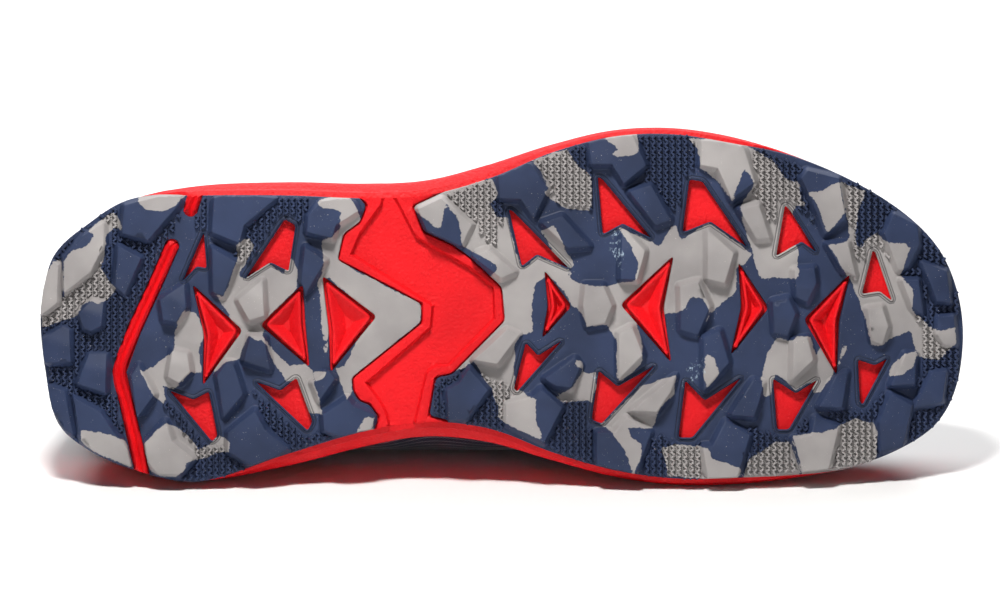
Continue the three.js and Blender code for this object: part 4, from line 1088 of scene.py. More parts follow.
def spotObject(name, points, **marks):
    mesh = bpy.data.meshes.new(name)
    mesh.from_pydata(np.asarray(points).tolist(), [], [])
    for mark, values in marks.items():
        values = np.asarray(values, dtype=np.float32)
        vector = values.ndim == 2
        data = mesh.attributes.new(mark, "FLOAT_VECTOR" if vector else "FLOAT", "POINT").data
        data.foreach_set("vector" if vector else "value", values.ravel())
    obj = bpy.data.objects.new(name, mesh)
    bpy.context.scene.collection.objects.link(obj)
    return obj


def treadSpots(name, room, lugLoops):
    zones = [onChart(zone) for zone in treadZones[name]]
    low = np.min([zone.min(0) for zone in zones], 0)
    high = np.max([zone.max(0) for zone in zones], 0)
    spots, angles = [], []
    for x in np.arange(low[0], high[0], treadLook["alongStep"]):
        for k, y in enumerate(np.arange(low[1], high[1], treadLook["acrossStep"])):
            spots.append((x, y))
            angles.append(treadLook["angle"] if k % 2 else -treadLook["angle"])
    spots, angles = np.array(spots), np.array(angles)
    keep = anyInside(spots, zones) & (room(spots) > treadLook["margin"])
    spots, angles = spots[keep], angles[keep]
    cuts, gaps = holesOf(name)
    keep = (nearest(spots, cuts) > treadLook["fromCuts"]) & (nearest(spots, gaps) > treadLook["fromGaps"])
    keep &= ~anyInside(spots, lugLoops)
    return spots[keep], angles[keep]


def makeTread(name, room):
    roots = [offset(anticlockwise(rounded(onChart(outline), 0.9, 1.2)), treadLook["fromLugs"])
             for outline in lugs[name]]
    spots, angles = treadSpots(name, room, roots)
    tree = Growth("zigzagTread", {"Rib Length": treadLook["ribLong"], "Rib Width": treadLook["ribWide"],
                                  "Rib Height": treadLook["ribHigh"], "Material": rubber})
    rib = tree.node("GeometryNodeMeshCone", Vertices=4, Radius_Top=0.48, Radius_Bottom=0.71, Depth=1.0)
    turnRib = tree.node("GeometryNodeTransform", Geometry=rib.outputs[0],
                        Rotation=(math.pi, 0, math.radians(45)))
    wide = tree.node("ShaderNodeCombineXYZ", X=tree.given("Rib Length"), Y=tree.given("Rib Width"),
                     Z=tree.given("Rib Height"))
    sized = tree.node("GeometryNodeTransform", Geometry=turnRib.outputs[0], Scale=wide.outputs[0])
    spin = tree.node("ShaderNodeCombineXYZ", Z=tree.named("angle"))
    spread = tree.node("GeometryNodeInstanceOnPoints", Points=tree.given("Geometry"),
                       Instance=sized.outputs[0], Rotation=spin.outputs[0])
    points = np.column_stack([spots, faceZ(spots[:, 0]) - treadLook["ribHigh"] * treadLook["sunk"]])
    obj = spotObject("zigzagSpots", points, angle=np.radians(90 + angles))
    mesh = tree.grown(obj, spread.outputs[0], "zigzagTread")
    coords = np.zeros(3 * len(mesh.vertices))
    mesh.vertices.foreach_get("co", coords)
    ribs = [list(face.vertices) for face in mesh.polygons]
    print("zigzag ribs", len(spots))
    return coords.reshape(-1, 3), ribs


def makeOutsole(name):
    shape, room = makePlate(name)
    for outline in lugs[name]:
        makeLug(shape, outline, room)
    coords, ribs = makeTread(name, room)
    shape.add(coords, ribs, **rubberMarks(coords))
    obj = shape.make("outsole_" + name, rubber, weld=0.012, sharp=38)
    return settle(obj, "camo_rubber", "outsole_" + name)


for podName in ("heel", "forefoot"):
    makeOutsole(podName)

# Red midsole
midsole = {"border": 0.5, "archDepth": 2.6, "gapDeep": 1.1, "ridgeAt": 1.05, "ridgeHigh": 0.6,
           "valleyDeep": 0.7, "columns": 16, "lipRidge": 0.75, "seat": 0.8, "grid": 2.2, "belly": 0.3,
           "bellyHigh": 4, "line": 0.55, "lineAt": 0.63, "film": 0.02,
           "wallShares": (0.004, 0.02, 0.04, 0.065, 0.09, 0.12, 0.16, 0.21, 0.28, 0.36, 0.45, 0.54, 0.6,
                          0.63, 0.66, 0.72, 0.8, 0.88, 1.0),
           "besideChain": (0.06, 0.25, 0.6, 0.9), "besidePanel": (-1.1, -0.62, -0.4, -0.15, 0.16, 0.5),
           "besideGroove": (0.4, 0.75, 1.05, 1.35, 1.7, 2.02, 2.3)}


def bottomZ(points):
    x = points[:, 0]
    z = backZ(x)
    inRubber = anyInside(points, [areas["heel"], areas["forefoot"]])
    toChain = np.minimum(*(pathDistance(points, chains[name], closed=False) for name in chains))
    panel = smooth(depthIn(points, onChart(archPanel)), -0.15, 0.6)
    arch = faceZ(x) + midsole["border"] + (midsole["archDepth"] - midsole["border"]) * panel
    arch += midsole["gapDeep"] * (1 - smooth(toChain, 0.1, 0.7))
    z = np.where(inRubber, z, arch)
    for path in grooves:
        d = pathDistance(points, path, closed=False)
        half = grooveWidth / 2 - 0.35
        ridge = np.exp(-((d - midsole["ridgeAt"]) / 0.42) ** 2) * midsole["ridgeHigh"]
        valley = np.exp(-(d / 0.4) ** 2) * midsole["valleyDeep"]
        rib = faceZ(x) + valley - ridge + 0.5 * smooth(d, half - 0.6, half)
        z = np.where((d < half) & inRubber, rib, z)
    return z


def makeMidsole():
    shape = Shape()
    s = np.arange(0, turns, 1 / midsole["columns"])
    seats = [slotLoop(path, grooveWidth - midsole["seat"]) for path in (heelGroove, heelNotch)]
    grooved = anyInside(treadEdge(s), seats)
    cover = np.where(grooved, 0.0, rubberCover(s))
    edge = edgePoint(s, at("lip", s) + cover + midsole["film"], 0)[:, :2]
    # bottom, with rows of points beside each step in its height
    features = []
    for path in chains.values():
        line = roundedPath(path, 1.5, 0.7)
        features += [beside(line, d * way) for d in midsole["besideChain"] for way in (-1, 1)]
    panelLoop = anticlockwise(rounded(onChart(archPanel), 1.0, 0.8))
    features += [offset(panelLoop, d) for d in midsole["besidePanel"]]
    for path in grooves:
        line = evenly(path, 0.75)
        features += [line] + [beside(line, d * way) for d in midsole["besideGroove"] for way in (-1, 1)]
    near = np.concatenate(features)
    near = near[depthIn(near, edge) > 0.35]
    grid = hexGrid(edge.min(0), edge.max(0), midsole["grid"])
    grid = grid[(depthIn(grid, edge) > 1.0) & (nearest(grid, grooves + [panelLoop]) > 1.6)]
    for lines, free in ((chains.values(), 1.3), (grooves, 3.0)):
        grid = grid[np.minimum(*(pathDistance(grid, line, closed=False) for line in lines)) > free]
    flat, faces = filled(edge, [], np.concatenate([near, grid]))
    shape.add(np.column_stack([flat, bottomZ(flat)]), faces)
    # side, rim and cup
    base = bottomZ(edge)
    x, lip = at("x", s), at("lip", s)
    low = np.maximum(base + 0.05, backZ(x) + np.where(grooved, 0, at("skirt", s)))
    top = rimZ(s)
    rows = [np.column_stack([edge, base])]
    for f in (0.35, 0.7, 1.0):
        z = mix(base, low, f)
        rows.append(edgePoint(s, formInset(s, z) + cover + midsole["film"], z))
    for f in midsole["wallShares"]:
        z = mix(low, top - 1.1, f)
        inset = formInset(s, z)
        share = np.clip(inset / np.maximum(lip, 0.1), 0, 1)
        bulge = share - (1 - np.sqrt(np.maximum(0, 1 - share ** 2)))
        belly = np.where(z < plateZ(x) + midsole["bellyHigh"], lip * bulge * midsole["belly"], 0)
        ridge = np.exp(-((z - plateZ(x) - 0.75) / 0.3) ** 2) * np.clip(lip / 2, 0, 1)
        line = midsole["line"] * math.exp(-((f - midsole["lineAt"]) / 0.02) ** 2)
        rows.append(edgePoint(s, inset - belly - midsole["lipRidge"] * ridge + line + 0.04, z))
    lean = at("lean", s)
    for inset, drop in ((0.12, 0.6), (0.5, 0.15), (1.0, 0.0), (last["rimWidth"] - 0.7, 0.0),
                        (last["rimWidth"] - 0.15, 0.35), (last["rimWidth"] + 0.05, 1.0)):
        rows.append(edgePoint(s, lean + inset, top - drop))
    rows.append(edgePoint(s, lean + last["rimWidth"] + last["cupSlope"], floorZ(x)))
    rows = np.array(rows)
    shape.grid(rows, closed=True)
    count = len(s)
    floor = rows[-1]
    rungs = [(k, k + 1, count - k - 1, (count - k) % count) for k in range(count // 2)]
    shape.add(floor, rungs)
    for name in pods:
        for outline in pods[name]:
            addKite(shape, outline)
    obj = shape.make("midsole", foam, weld=0.012, sharp=42)
    return settle(obj, "red_foam", "midsole")


def addKite(shape, outline):
    corners = onChart(outline)
    loop = anticlockwise(rounded(anticlockwise(corners), kite["corner"], 0.7))
    # the valley lies between the notch and the tip, nearer the notch
    bends = [float(np.cross(corners[i - 1] - corners[i], corners[(i + 1) % 4] - corners[i]))
             for i in range(4)]
    notch = int(np.argmin([bend * sum(bends) for bend in bends]))
    centre = mix(corners[notch], corners[(notch + 2) % 4], kite["notchShare"])
    rows = []
    tip = -kite["proud"]
    for grow, z in ((0.35, last["plate"] + 0.6), (0.12, 0.3), (0.0, tip + 0.45), (-0.16, tip + 0.12),
                    (-0.45, tip), (-kite["rim"], tip + 0.12)):
        flat = offset(loop, grow)
        rows.append(np.column_stack([flat, faceZ(flat[:, 0]) + z]))
    inner = rows[-1]
    deep = np.array([centre[0], centre[1], faceZ(centre[0]) + tip + kite["valley"]])
    for f in (0.12, 0.3, 0.5, 0.7, 0.86, 0.96):
        rows.append(mix(inner, deep, f))
    shape.grid(np.array(rows)[::-1], closed=True)


makeMidsole()


# Knitted upper
upper = {"columns": 8, "rows": 40, "creases": [
    # along, width, depth, lowest share, slant
    (196, 3.2, -1.3, 0.45, 14), (203, 3.0, 0.5, 0.45, 14), (210, 3.0, -1.1, 0.40, 18),
    (217, 2.6, 0.4, 0.40, 20), (226, 3.4, -0.8, 0.35, 24), (92, 4.5, -0.9, 0.30, -30),
    (104, 4.0, 0.4, 0.30, -30), (66, 4.0, -0.6, 0.25, -18)],
    "padSwell": 2.0, "seamAt": 0.64, "seamDeep": 0.8}


def creased(s, t):
    p = skin(s, t)
    lift = 0 * t
    for along, width, depth, low, slant in upper["creases"]:
        middle = along + slant * (0.75 - t)
        lift = lift + depth * np.exp(-((p[..., 0] - middle) / width) ** 2) * smooth(t, low, low + 0.2)
    pad = at("pad", s) / last["pad"]
    lift = lift + upper["padSwell"] * pad * smooth(t, upper["seamAt"], 0.8) * (1 - smooth(t, 0.9, 1.0))
    return lift - upper["seamDeep"] * pad * np.exp(-((t - upper["seamAt"]) / 0.018) ** 2)


def overSkin(s, t, distance):
    # off the skin, with both sides meeting on the ridge of the vamp
    s, t, distance = np.broadcast_arrays(np.mod(np.asarray(s, float), turns), np.asarray(t, float),
                                         np.asarray(distance, float))
    here = offSkin(s, t, distance)
    both = (here + offSkin(turns - s, t, distance)) / 2
    joined = (np.abs(at("gap", s)) < 0.01) & (t > 0.9999)
    return np.where(joined[..., None], both, here)


def makeUpper(material):
    shape = Shape()
    s = np.arange(0, turns, 1 / upper["columns"])[None, :]
    t = np.concatenate([[-1, -0.4, -0.1], np.linspace(0, 0.9, upper["rows"]), [0.93, 0.955, 0.975, 0.99, 1]])
    t = t[:, None]
    outer = overSkin(s, t, creased(s + 0 * t, t + 0 * s))
    apart = (np.abs(at("gap", s[0])) > 0.01) | (np.minimum(s[0], turns - s[0]) < 1)
    top = outer[-1]
    up = unit(skin(s[0], 1.0) - skin(s[0], 0.94))
    out = skinNormal(s[0], np.ones_like(s[0]))
    radius = wallAt(s[0], 1.0) / 2
    roll = [top + np.where(apart, radius * math.sin(a), 0)[:, None] * up
            - (radius * (1 - math.cos(a)))[:, None] * out for a in np.linspace(0, math.pi, 9)[1:-1]]
    tIn = np.concatenate([[1, 0.97, 0.93], np.linspace(0.88, 0.0, 16), [-0.5, -1]])[:, None]
    inner = overSkin(s, tIn, -wallAt(s + 0 * tIn, tIn + 0 * s))
    rows = np.concatenate([outer, np.array(roll), inner])
    climb = np.concatenate([np.zeros((1, s.shape[1])), np.cumsum(
        np.linalg.norm(np.diff(rows, axis=0), axis=-1), axis=0)])
    climb -= climb[3]
    lining = np.zeros(rows.shape[:2])
    lining[len(t) + 4:] = 1
    first, final = len(t) - 1, len(t) + len(roll)
    faces = []
    for face in gridFaces(rows.shape[0], rows.shape[1], True):
        row, column = divmod(face[0], rows.shape[1])
        closedHere = not (apart[column] or apart[(column + 1) % rows.shape[1]])
        if not (first <= row < final and closedHere):
            faces.append(face)
    shape.add(rows.reshape(-1, 3), faces, along=rows[..., 0].ravel(), climb=climb.ravel(),
              lining=lining.ravel())
    return settle(shape.make("upper", material, weld=0.01, sharp=0), "navy_mesh", "upper")


knitLook = {"yarn": "34405f", "deep": "1c2439", "pale": "9aa1b1", "lining": "232b42", "lines": 2.3,
            "lineWide": 0.0875, "cell": 1.15, "waveLong": 8.0, "waveHigh": 0.42, "wander": 5.0}


def makeKnit():
    look = Look("navyKnit", 0.85, Sheen_Weight=0.25, Specular_IOR_Level=0.25)
    along, climb = look.mark("along"), look.mark("climb")
    drift = look.noise(16, 2)
    wave = look.maths("SINE", along / knitLook["waveLong"] + drift * 9.0) * knitLook["waveHigh"]
    row = climb / knitLook["lines"] + wave + drift * knitLook["wander"]
    part = look.maths("FRACT", row)
    middle = look.maths("ABSOLUTE", part - 0.5)
    line = 1 - look.step(middle, knitLook["lineWide"], 0.07)
    broken = look.step(look.noise(150, 3), 0.46, 0.12)
    k = 2 * math.pi / knitLook["cell"]
    loops = look.maths("SINE", along * k) * look.maths("SINE", climb * k)
    weave = loops * 0.5 + 0.5
    yarn = look.blend(weave, colour(knitLook["deep"]), colour(knitLook["yarn"]))
    lined = look.blend(line * (0.6 + broken * 0.4) * (0.5 + weave * 0.4), yarn, colour(knitLook["pale"]))
    look.feed("Base Color", look.blend(look.mark("lining"), lined, colour(knitLook["lining"])))
    look.feed("Roughness", 0.9 - line * 0.2)
    look.bump((weave, 0.22, 0.55), (line, 0.25, 0.5))
    return look.material


filmLook = {"navy": "1c2438", "navyLight": "2b3550"}


def makeFilm():
    look = Look("navyFilm", 0.42, Specular_IOR_Level=0.45, Coat_Roughness=0.35)
    tone = look.noise(45, 3)
    look.feed("Base Color", look.blend(tone, colour(filmLook["navy"]), colour(filmLook["navyLight"])))
    look.feed("Roughness", 0.36 + look.noise(700, 3) * 0.2)
    cells = look.node("ShaderNodeTexVoronoi", {"feature": "DISTANCE_TO_EDGE"}, {
        "Vector": look.place(), "Scale": 620.0}, "Distance")
    look.bump((look.step(cells, 0.06, 0.1), 0.08, 0.35), (look.noise(1500, 2), 0.04, 0.3))
    return look.material


def makeCloth(name, light, dark, cell):
    look = Look(name, 0.92, Sheen_Weight=0.35, Specular_IOR_Level=0.2)
    place = look.node("ShaderNodeMapping", {}, {"Vector": look.place(), "Rotation": (0.3, 0.5, 0.2)})
    wave = look.node("ShaderNodeTexWave", {"bands_direction": "X"}, {
        "Vector": place, "Scale": cell, "Distortion": 1.2, "Detail": 2.0}, "Fac")
    cross = look.node("ShaderNodeTexWave", {"bands_direction": "Z"}, {
        "Vector": place, "Scale": cell, "Distortion": 1.2, "Detail": 2.0}, "Fac")
    weave = wave * cross
    look.feed("Base Color", look.blend(weave * 0.8 + look.noise(60, 3) * 0.3, colour(dark), colour(light)))
    look.feed("Roughness", 0.85 + weave * 0.1)
    look.bump((weave, 0.2, 0.5), (look.noise(900, 3), 0.1, 0.4))
    return look.material


film = {"seat": 0.4, "thick": 0.9, "soft": 0.7}


def filmPatch(shape, s, t, size):
    # s and t are grids; the film's edge is soft, and sinks to the knit all round
    base = overSkin(s, t, creased(s, t))
    top = overSkin(s, t, creased(s, t) + film["seat"] + film["thick"])
    acrossStep = np.linalg.norm(np.diff(base, axis=1), axis=-1)
    downStep = np.linalg.norm(np.diff(base, axis=0), axis=-1)
    across = np.concatenate([np.zeros((base.shape[0], 1)), np.cumsum(acrossStep, axis=1)], axis=1)
    down = np.concatenate([np.zeros((1, base.shape[1])), np.cumsum(downStep, axis=0)], axis=0)
    border = np.minimum(np.minimum(across, across[:, -1:] - across) if size[1] else 99,
                        np.minimum(down, down[-1:] - down) if size[0] else 99)
    near = np.clip(border / film["soft"], 0, 1)
    share = 0.1 + 0.9 * np.sqrt(near * (2 - near))
    shape.grid(base + (top - base) * share[..., None])


def denseShares(count, edge=0.012):
    # shares from 0 to 1, with more of them near both ends
    near = np.array([0, edge * 0.25, edge * 0.6, edge])
    return np.unique(np.concatenate([near, np.linspace(0, 1, count), 1 - near]))


def placeWhere(t, start, end, limit):
    # the ring place between start and end where the skin at share t passes a side-view line
    s = np.linspace(start, end, 240)
    p = skin(s, np.full_like(s, t))
    past = p[:, 0] >= limit(p[:, 2])
    return s[np.argmax(past)] if past.any() else end


cap = {"length": 42, "lead": 12, "back": 6}


def makeCap(material):
    shape = Shape()
    start = last["length"] - cap["length"]

    def limit(z):
        return np.interp(z, [0, 50, 61], [start + cap["lead"], start, start - cap["back"]])

    u = denseShares(70, 0.006)
    rows = denseShares(30)
    starts = [placeWhere(row, 12, 19, limit) for row in rows]
    s = np.array([mix(place, turns - place, u) for place in starts])
    filmPatch(shape, s, np.broadcast_to(rows[:, None], s.shape), (0, 1))
    return settle(shape.make("toe_cap", material, weld=0.01), "navy_film", "toe_cap")


counter = {"length": 62, "top": 74, "end": 8, "foot": 6}


def makeCounter(material):
    shape = Shape()
    rows = denseShares(26)
    length, top = counter["length"], counter["top"]
    lineX = [0, 0.62 * length, length, length + counter["end"]]
    lineZ = [top, 0.88 * top, 0.68 * top, 0.4 * top]
    reach = placeWhere(0.15, 0, 9, lambda z: length + counter["foot"] + 0 * z)
    u = mix(-reach, reach, denseShares(70, 0.006))
    tTop = []
    for place in u:
        t = np.linspace(0, 1, 200)
        p = skin(np.full_like(t, place), t)
        tTop.append(t[np.argmax(p[:, 2] > np.interp(p[:, 0], lineX, lineZ))])
    t = rows[:, None] * np.array(tTop)[None, :]
    filmPatch(shape, np.broadcast_to(u, t.shape), t, (1, 1))
    return settle(shape.make("heel_counter", material, weld=0.01), "navy_film", "heel_counter")


stay = {"width": 17, "edge": 1.5, "back": 8.0, "front": 13.6, "pairs": 6, "firstEyelet": 8.35,
        "lastEyelet": 12.25, "inset": 9, "hole": 2.2, "ring": 1.0, "ringWide": 0.85, "ringHigh": 0.55,
        "taper": 12.3}


def shareDown(s, distance):
    t = np.linspace(0, 1, 160)[::-1]
    p = skin(np.full_like(t, s), t)
    run = np.linalg.norm(p - p[0], axis=1)
    return np.interp(distance, run, t)


def makeStay(material):
    shape = Shape()
    u = mix(stay["back"], stay["front"], denseShares(90, 0.008))
    rows = denseShares(20, 0.03)
    for mirror in (False, True):
        s, t = [], []
        for place in u:
            bend = np.clip((place - stay["taper"]) / (stay["front"] + 0.05 - stay["taper"]), 0, 1)
            width = mix(stay["width"], 0.5, bend ** 2.2)
            edge = stay["edge"] * (1 - smooth(place, 12.7, 13.0))
            t.append(shareDown(place, mix(edge, max(edge + 0.5, width), rows)))
            s.append(np.full_like(rows, place))
        s, t = np.array(s).T, np.array(t).T
        s = turns - s if mirror else s
        part = Shape()
        filmPatch(part, s, t, (1, 1))
        faces = [face[::-1] for face in part.faces] if not mirror else part.faces
        shape.add(np.concatenate(part.points), faces)
    return settle(shape.make("eyestay", material, weld=0.01), "navy_film", "eyestay")


def eyeletPlaces():
    return np.linspace(stay["firstEyelet"], stay["lastEyelet"], stay["pairs"])


def makeEyelets(material):
    shape = Shape()
    for place in eyeletPlaces():
        for s in (place, turns - place):
            t = float(shareDown(s, stay["inset"]))
            middle = overSkin(s, t, film["seat"] + film["thick"] + 0.15).reshape(3)
            out = skinNormal(np.array([s]), np.array([t]))[0]
            first = unit(np.cross(out, (1, 0, 0)))
            second = np.cross(out, first)
            rows = []
            for b in np.linspace(0, 2 * math.pi, 9)[:-1]:
                radius = stay["hole"] + stay["ring"] + stay["ringWide"] * math.cos(b)
                height = stay["ringHigh"] * math.sin(b)
                rows.append([middle + out * height + (first * math.cos(a) + second * math.sin(a)) * radius
                             for a in np.linspace(0, 2 * math.pi, 25)[:-1]])
            shape.grid(np.array(rows + rows[:1]), closed=True)
    return settle(shape.make("eyelets", material, weld=0.01, closed=True), "navy_film")


laceSizes = {"width": 6.2, "thick": 1.3, "narrow": 3.4, "lift": 0.95, "crossLift": 1.5, "steps": 8,
             "bow": 1.6, "around": 17}
laceLook = {"deep": "8e1218", "red": "d8262c", "along": 3.6, "across": 1.1}


def laceRun(shape, s0, s1, over):
    # one flat stretch from the eyelet at s0 over the throat to the one at s1
    lift = film["seat"] + film["thick"] + laceSizes["lift"]

    def fromEyelet(s):
        t = float(shareDown(s, stay["inset"]))
        hole = [overSkin(s, t, d).reshape(3) for d in (-2.5, 0.6, lift + 0.4)]
        edge = overSkin(s, float(shareDown(s, 4.5)), lift + 0.5).reshape(3)
        rim = overSkin(s, 0.985, lift + 0.8).reshape(3)
        return hole + [edge, rim]

    start, end = fromEyelet(s0), fromEyelet(s1)
    rise = laceSizes["bow"] + (laceSizes["crossLift"] if over else 0)
    middle = (start[-1] + end[-1]) / 2 + np.array([0, 0, rise])
    route = curveThrough(start + [middle] + end[::-1], laceSizes["steps"])
    tangent = unit(np.gradient(route, axis=0))
    outs = np.array([skinNormal(np.array([s]), np.array([0.97]))[0] for s in (s0, s1)])
    share = np.linspace(0, 1, len(route))[:, None]
    face = unit(mix(outs[0], outs[1], smooth(share, 0.2, 0.8)) + [0, 0, 0.35])
    side = unit(np.cross(face, tangent))
    face = np.cross(tangent, side)
    run = np.linspace(0, 1, len(route))
    wide = mix(laceSizes["narrow"], laceSizes["width"], smooth(np.minimum(run, 1 - run), 0.12, 0.3)) / 2
    rows = []
    for a in np.linspace(0, 2 * math.pi, laceSizes["around"])[:-1]:
        c, d = math.cos(a), math.sin(a)
        x = math.copysign(abs(c) ** 0.55, c)
        y = math.copysign(abs(d) ** 0.7, d) * laceSizes["thick"] / 2
        rows.append(route + side * (wide * x)[:, None] + face * y)
    length = np.concatenate([[0], np.cumsum(np.linalg.norm(np.diff(route, axis=0), axis=1))])
    rows = np.array(rows + rows[:1])
    shape.grid(rows, along=np.broadcast_to(length, rows.shape[:2]),
               climb=np.broadcast_to(np.linspace(0, 17, laceSizes["around"])[:, None], rows.shape[:2]))
    order = list(range(len(rows) - 1))
    shape.add(rows[:-1, 0], [order[::-1]])
    shape.add(rows[:-1, -1], [order])


def makeLace(material):
    shape = Shape()
    places = eyeletPlaces()
    laceRun(shape, places[-1], turns - places[-1], False)
    for i in range(len(places) - 1):
        laceRun(shape, places[i], turns - places[i + 1], i % 2 == 0)
        laceRun(shape, places[i + 1], turns - places[i], i % 2 == 1)
    return settle(shape.make("lace", material, weld=0.01, sharp=50, closed=True), "lace_cord", "lace")


def makeBraid():
    look = Look("laceBraid", 0.85, Sheen_Weight=0.3, Specular_IOR_Level=0.25)
    along, climb = look.mark("along"), look.mark("climb")
    one = look.maths("SINE", along * laceLook["along"] + climb * laceLook["across"])
    two = look.maths("SINE", along * laceLook["along"] - climb * laceLook["across"])
    braid = one * two * 0.5 + 0.5
    look.feed("Base Color", look.blend(braid, colour(laceLook["deep"]), colour(laceLook["red"])))
    look.feed("Roughness", 0.75 + braid * 0.15)
    look.bump((braid, 0.25, 0.6))
    return look.material


tongueSizes = {"thick": 5.0, "rise": 22, "rows": [(13.5, 0.66), (13, 0.66), (12, 0.66), (11, 0.68),
               (10, 0.70), (9, 0.76), (8, 0.90)], "free": [(0.3, 0.76), (0.65, 0.94), (1.0, 1.05)]}


def tongueGrid(depth, crown):
    rows = []
    for s, low in tongueSizes["rows"]:
        shares = np.array([low, max(0.82, (low + 1) / 2), 0.96])
        inner = [offSkin(place + 0 * shares, shares, -wallAt(place + 0 * shares, shares) - 0.9 - depth)
                 for place in (np.array([s, s, s]), turns - np.array([s, s, s]))]
        lateral, medial = inner[0], inner[1][::-1]
        rows.append([*lateral, (lateral[2] + medial[0]) / 2, *medial])
    collar, before = np.array(rows[-1]), np.array(rows[-2])
    rise = unit((collar[3] - before[3]) * (1, 0, 1))
    rise = unit(mix(rise, np.array([0, 0, 1.0]), 0.45))
    for share, widen in tongueSizes["free"]:
        wide = collar.copy()
        wide[:, 1] = collar[3, 1] + (collar[:, 1] - collar[3, 1]) * widen
        short = 1 - share * np.array([0.34, 0.1, 0, 0, 0, 0.1, 0.34])[:, None]
        rows.append(list(wide + rise * short * share * tongueSizes["rise"]))
    grid = np.array(rows, float)
    pillow = np.array([0, 0.6, 0.95, 1, 0.95, 0.6, 0])
    grid[:, :, 2] += crown * pillow
    return grid


def makeTongue(material):
    shape = Shape()
    top, bottom = tongueGrid(0.4, 0.0), tongueGrid(tongueSizes["thick"] - 0.4, -0.6)
    wide = top.shape[1]
    shape.grid(top, flip=True)
    shape.grid(bottom)
    rim = [(j, 0) for j in range(len(top))] + [(len(top) - 1, k) for k in range(1, wide)]
    rim += [(j, wide - 1) for j in range(len(top) - 2, -1, -1)] + [(0, k) for k in range(wide - 2, 0, -1)]
    loop = [np.array([grid[j][k] for j, k in rim]) for grid in (top, bottom)]
    shape.grid(np.array(loop), closed=True)
    obj = shape.make("tongue", material, weld=0.01, sharp=0, closed=True)
    soft = obj.modifiers.new("soft", "SUBSURF")
    soft.levels = soft.render_levels = 3
    return settle(obj, "tongue_cloth", "tongue")


insoleSizes = {"thick": 4, "cup": 2.6, "across": 15}


def makeInsole(material):
    shape = Shape()
    s = np.linspace(0, lastRow, 110)
    inset = cupInset(s) + last["wall"] + 0.3
    lateral = edgePoint(s, inset, floorZ(at("x", s)) + 0.3)
    back = np.mod(turns - s, turns)
    medial = edgePoint(back, cupInset(back) + last["wall"] + 0.3, floorZ(at("x", s)) + 0.3)
    f = np.linspace(0, 1, insoleSizes["across"])[:, None, None]
    flat = mix(lateral[None], medial[None], f)
    top = flat.copy()
    edge = np.abs(2 * f[..., 0] - 1) ** 5
    heelCup = 1 - smooth(at("x", s), 60, 200) * 0.6
    top[..., 2] += insoleSizes["thick"] + insoleSizes["cup"] * edge * heelCup - 0.4
    shape.grid(top, flip=True)
    shape.grid(flat)
    shape.grid(np.array([flat[0], top[0]]))
    shape.grid(np.array([flat[-1], top[-1]]), flip=True)
    return settle(shape.make("insole", material, weld=0.05, sharp=60, closed=True), "insole_cloth", "insole")


stitchLook = {"length": 2.0, "thick": 0.5, "gap": 2.9, "stay": (8.05, 13.2, 160), "stayEnd": 12.2,
              "insets": (2.6, 15.2), "seamReach": 7.6, "belowSeam": 0.035, "seamLift": 0.22}


def seamSpots(s, t, lift):
    # even spots along a line on the skin, with the way it runs at each
    path = overSkin(s, t, creased(s, t) + lift)
    run = np.concatenate([[0], np.cumsum(np.linalg.norm(np.diff(path, axis=0), axis=1))])
    marks = np.arange(stitchLook["gap"] / 2, run[-1], stitchLook["gap"])
    spots = np.stack([np.interp(marks, run, path[:, k]) for k in range(3)], -1)
    return spots, unit(np.gradient(spots, axis=0))


def makeStitches(material):
    lines = []
    s = np.linspace(*stitchLook["stay"])
    places = s[s < stitchLook["stayEnd"]]
    for inset in stitchLook["insets"]:
        t = np.array([float(shareDown(place, inset)) for place in places])
        for line in (places, turns - places):
            lines.append(seamSpots(line, t, film["seat"] + film["thick"] + 0.05))
    s = np.linspace(-stitchLook["seamReach"], stitchLook["seamReach"], 300)
    seam = np.full_like(s, upper["seamAt"] - stitchLook["belowSeam"])
    lines.append(seamSpots(s, seam, stitchLook["seamLift"]))
    spots = np.concatenate([line[0] for line in lines])
    ways = np.concatenate([line[1] for line in lines])
    tree = Growth("stitchRow", {"Stitch Length": stitchLook["length"], "Stitch Width": stitchLook["thick"],
                                "Material": material})
    ball = tree.node("GeometryNodeMeshUVSphere", Segments=8, Rings=6, Radius=0.5)
    size = tree.node("ShaderNodeCombineXYZ", X=tree.given("Stitch Width"), Y=tree.given("Stitch Width"),
                     Z=tree.given("Stitch Length"))
    stitch = tree.node("GeometryNodeTransform", Geometry=ball.outputs[0], Scale=size.outputs[0])
    turned = tree.node("FunctionNodeAlignRotationToVector", {"axis": "Z"},
                       Vector=tree.named("way", "FLOAT_VECTOR"))
    spread = tree.node("GeometryNodeInstanceOnPoints", Points=tree.given("Geometry"),
                       Instance=stitch.outputs[0], Rotation=turned.outputs[0])
    mesh = tree.grown(spotObject("stitchSpots", spots, way=ways), spread.outputs[0], "stitches")
    mesh.transform(toPart)
    mesh.shade_smooth()
    obj = bpy.data.objects.new("stitches", mesh)
    bpy.context.scene.collection.objects.link(obj)
    return settle(obj, "navy_mesh")


# Light and dark threads, and how fine the weave is
clothLook = {"tongueCloth": ("333d58", "161c2e", 330), "insoleCloth": ("9a9da4", "6f737c", 420),
             "seamThread": ("a8afba", "858d9b", 900)}
knit, filmFinish = makeKnit(), makeFilm()
tongueCloth, insoleCloth = (makeCloth(name, *clothLook[name]) for name in ("tongueCloth", "insoleCloth"))
makeUpper(knit)
makeCap(filmFinish)
makeCounter(filmFinish)
makeStay(filmFinish)
makeEyelets(filmFinish)
makeLace(makeBraid())
makeTongue(tongueCloth)
makeInsole(insoleCloth)
makeStitches(makeCloth("seamThread", *clothLook["seamThread"]))


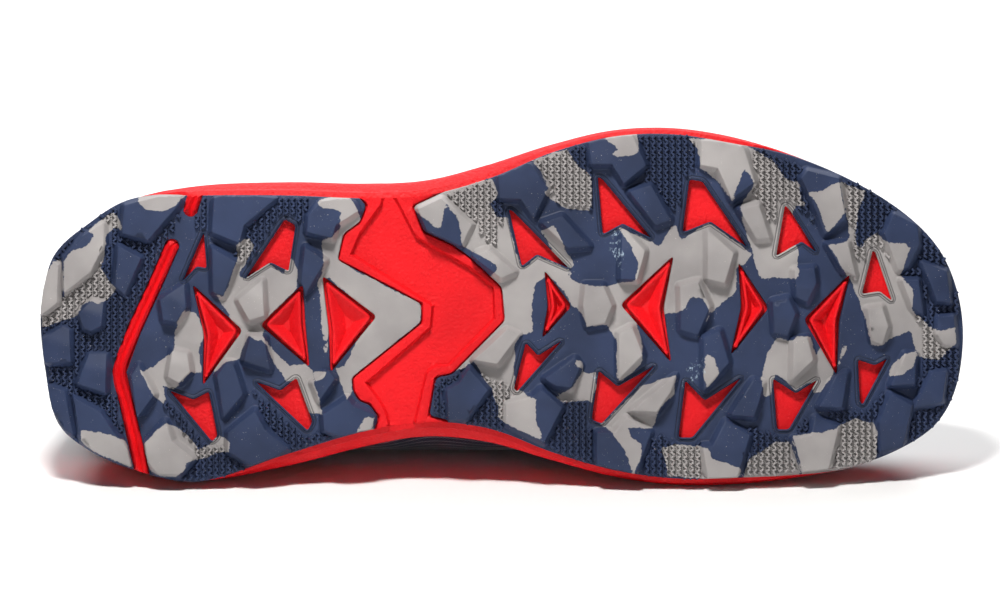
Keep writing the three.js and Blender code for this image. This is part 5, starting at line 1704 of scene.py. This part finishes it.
# Floor, light and camera
view = {"photoWidth": 1000, "photoHeight": 591, "heelPixel": 38, "middlePixel": 325, "toePixel": 968,
        "distance": 1.75, "sensor": 36, "floor": 8, "paint": 0.86}


def makeStage():
    lit = Look("paleFloor", 0.7)
    lit.shader.inputs["Base Color"].default_value = (view["paint"], view["paint"], view["paint"], 1)
    half = view["floor"] / 2
    corners = [(-half, -half, 0), (half, -half, 0), (half, half, 0), (-half, half, 0)]
    mesh = bpy.data.meshes.new("floor")
    mesh.from_pydata(corners, [], [(0, 1, 2, 3)])
    mesh.materials.append(lit.material)
    obj = bpy.data.objects.new("floor", mesh)
    bpy.context.scene.collection.objects.link(obj)


def makeCamera():
    millimetres = last["length"] / (view["toePixel"] - view["heelPixel"])
    x = (view["photoWidth"] / 2 - view["heelPixel"]) * millimetres
    y = (view["photoHeight"] / 2 - view["middlePixel"]) * millimetres
    aim = toPart @ Vector((x, y, 0))
    turned = toPart.to_3x3().normalized()
    ahead, medial, up = (turned @ Vector(v) for v in ((1, 0, 0), (0, 1, 0), (0, 0, 1)))
    data = bpy.data.cameras.new("camera")
    data.sensor_width = view["sensor"]
    data.lens = view["sensor"] * view["distance"] * 1000 / (view["photoWidth"] * millimetres)
    camera = bpy.data.objects.new("camera", data)
    bpy.context.scene.collection.objects.link(camera)
    axes = Matrix((ahead, -medial, -up)).transposed().to_4x4()
    camera.matrix_world = Matrix.Translation(aim - up * view["distance"]) @ axes
    bpy.context.scene.camera = camera
    return aim


lightLook = {"sky": 0.06, "key": 9.2, "fill": 1.8, "back": 60}


def addLamp(name, aim, towards, distance, size, power, tint=(1, 1, 1)):
    data = bpy.data.lights.new(name, "AREA")
    data.shape = "RECTANGLE"
    data.size, data.size_y = size
    data.energy = power
    data.color = tint
    lamp = bpy.data.objects.new(name, data)
    bpy.context.scene.collection.objects.link(lamp)
    direction = Vector(towards).normalized()
    lamp.location = aim + direction * distance
    lamp.rotation_euler = direction.to_track_quat("Z", "Y").to_euler()


def makeLight(aim):
    world = bpy.data.worlds.new("studio")
    bpy.context.scene.world = world
    world.use_nodes = True
    sky = world.node_tree.nodes["Background"]
    sky.inputs["Color"].default_value = (1, 1, 1, 1)
    sky.inputs["Strength"].default_value = lightLook["sky"]
    scene = bpy.context.scene
    scene.view_settings.view_transform = "Standard"
    scene.view_settings.look = "None"
    addLamp("keyLight", aim, (-0.14, -0.43, 0.88), 0.8, (0.16, 0.12), lightLook["key"], (1, 0.985, 0.96))
    addLamp("frontFill", aim, (0.2, -1.0, 0.16), 1.9, (1.4, 0.5), lightLook["fill"])
    addLamp("floorLight", Vector((0, 1.3, 0)), (0, -0.05, 1.0), 1.5, (2.6, 1.4), lightLook["back"])


makeStage()
makeLight(makeCamera())
print("stage, light and camera")
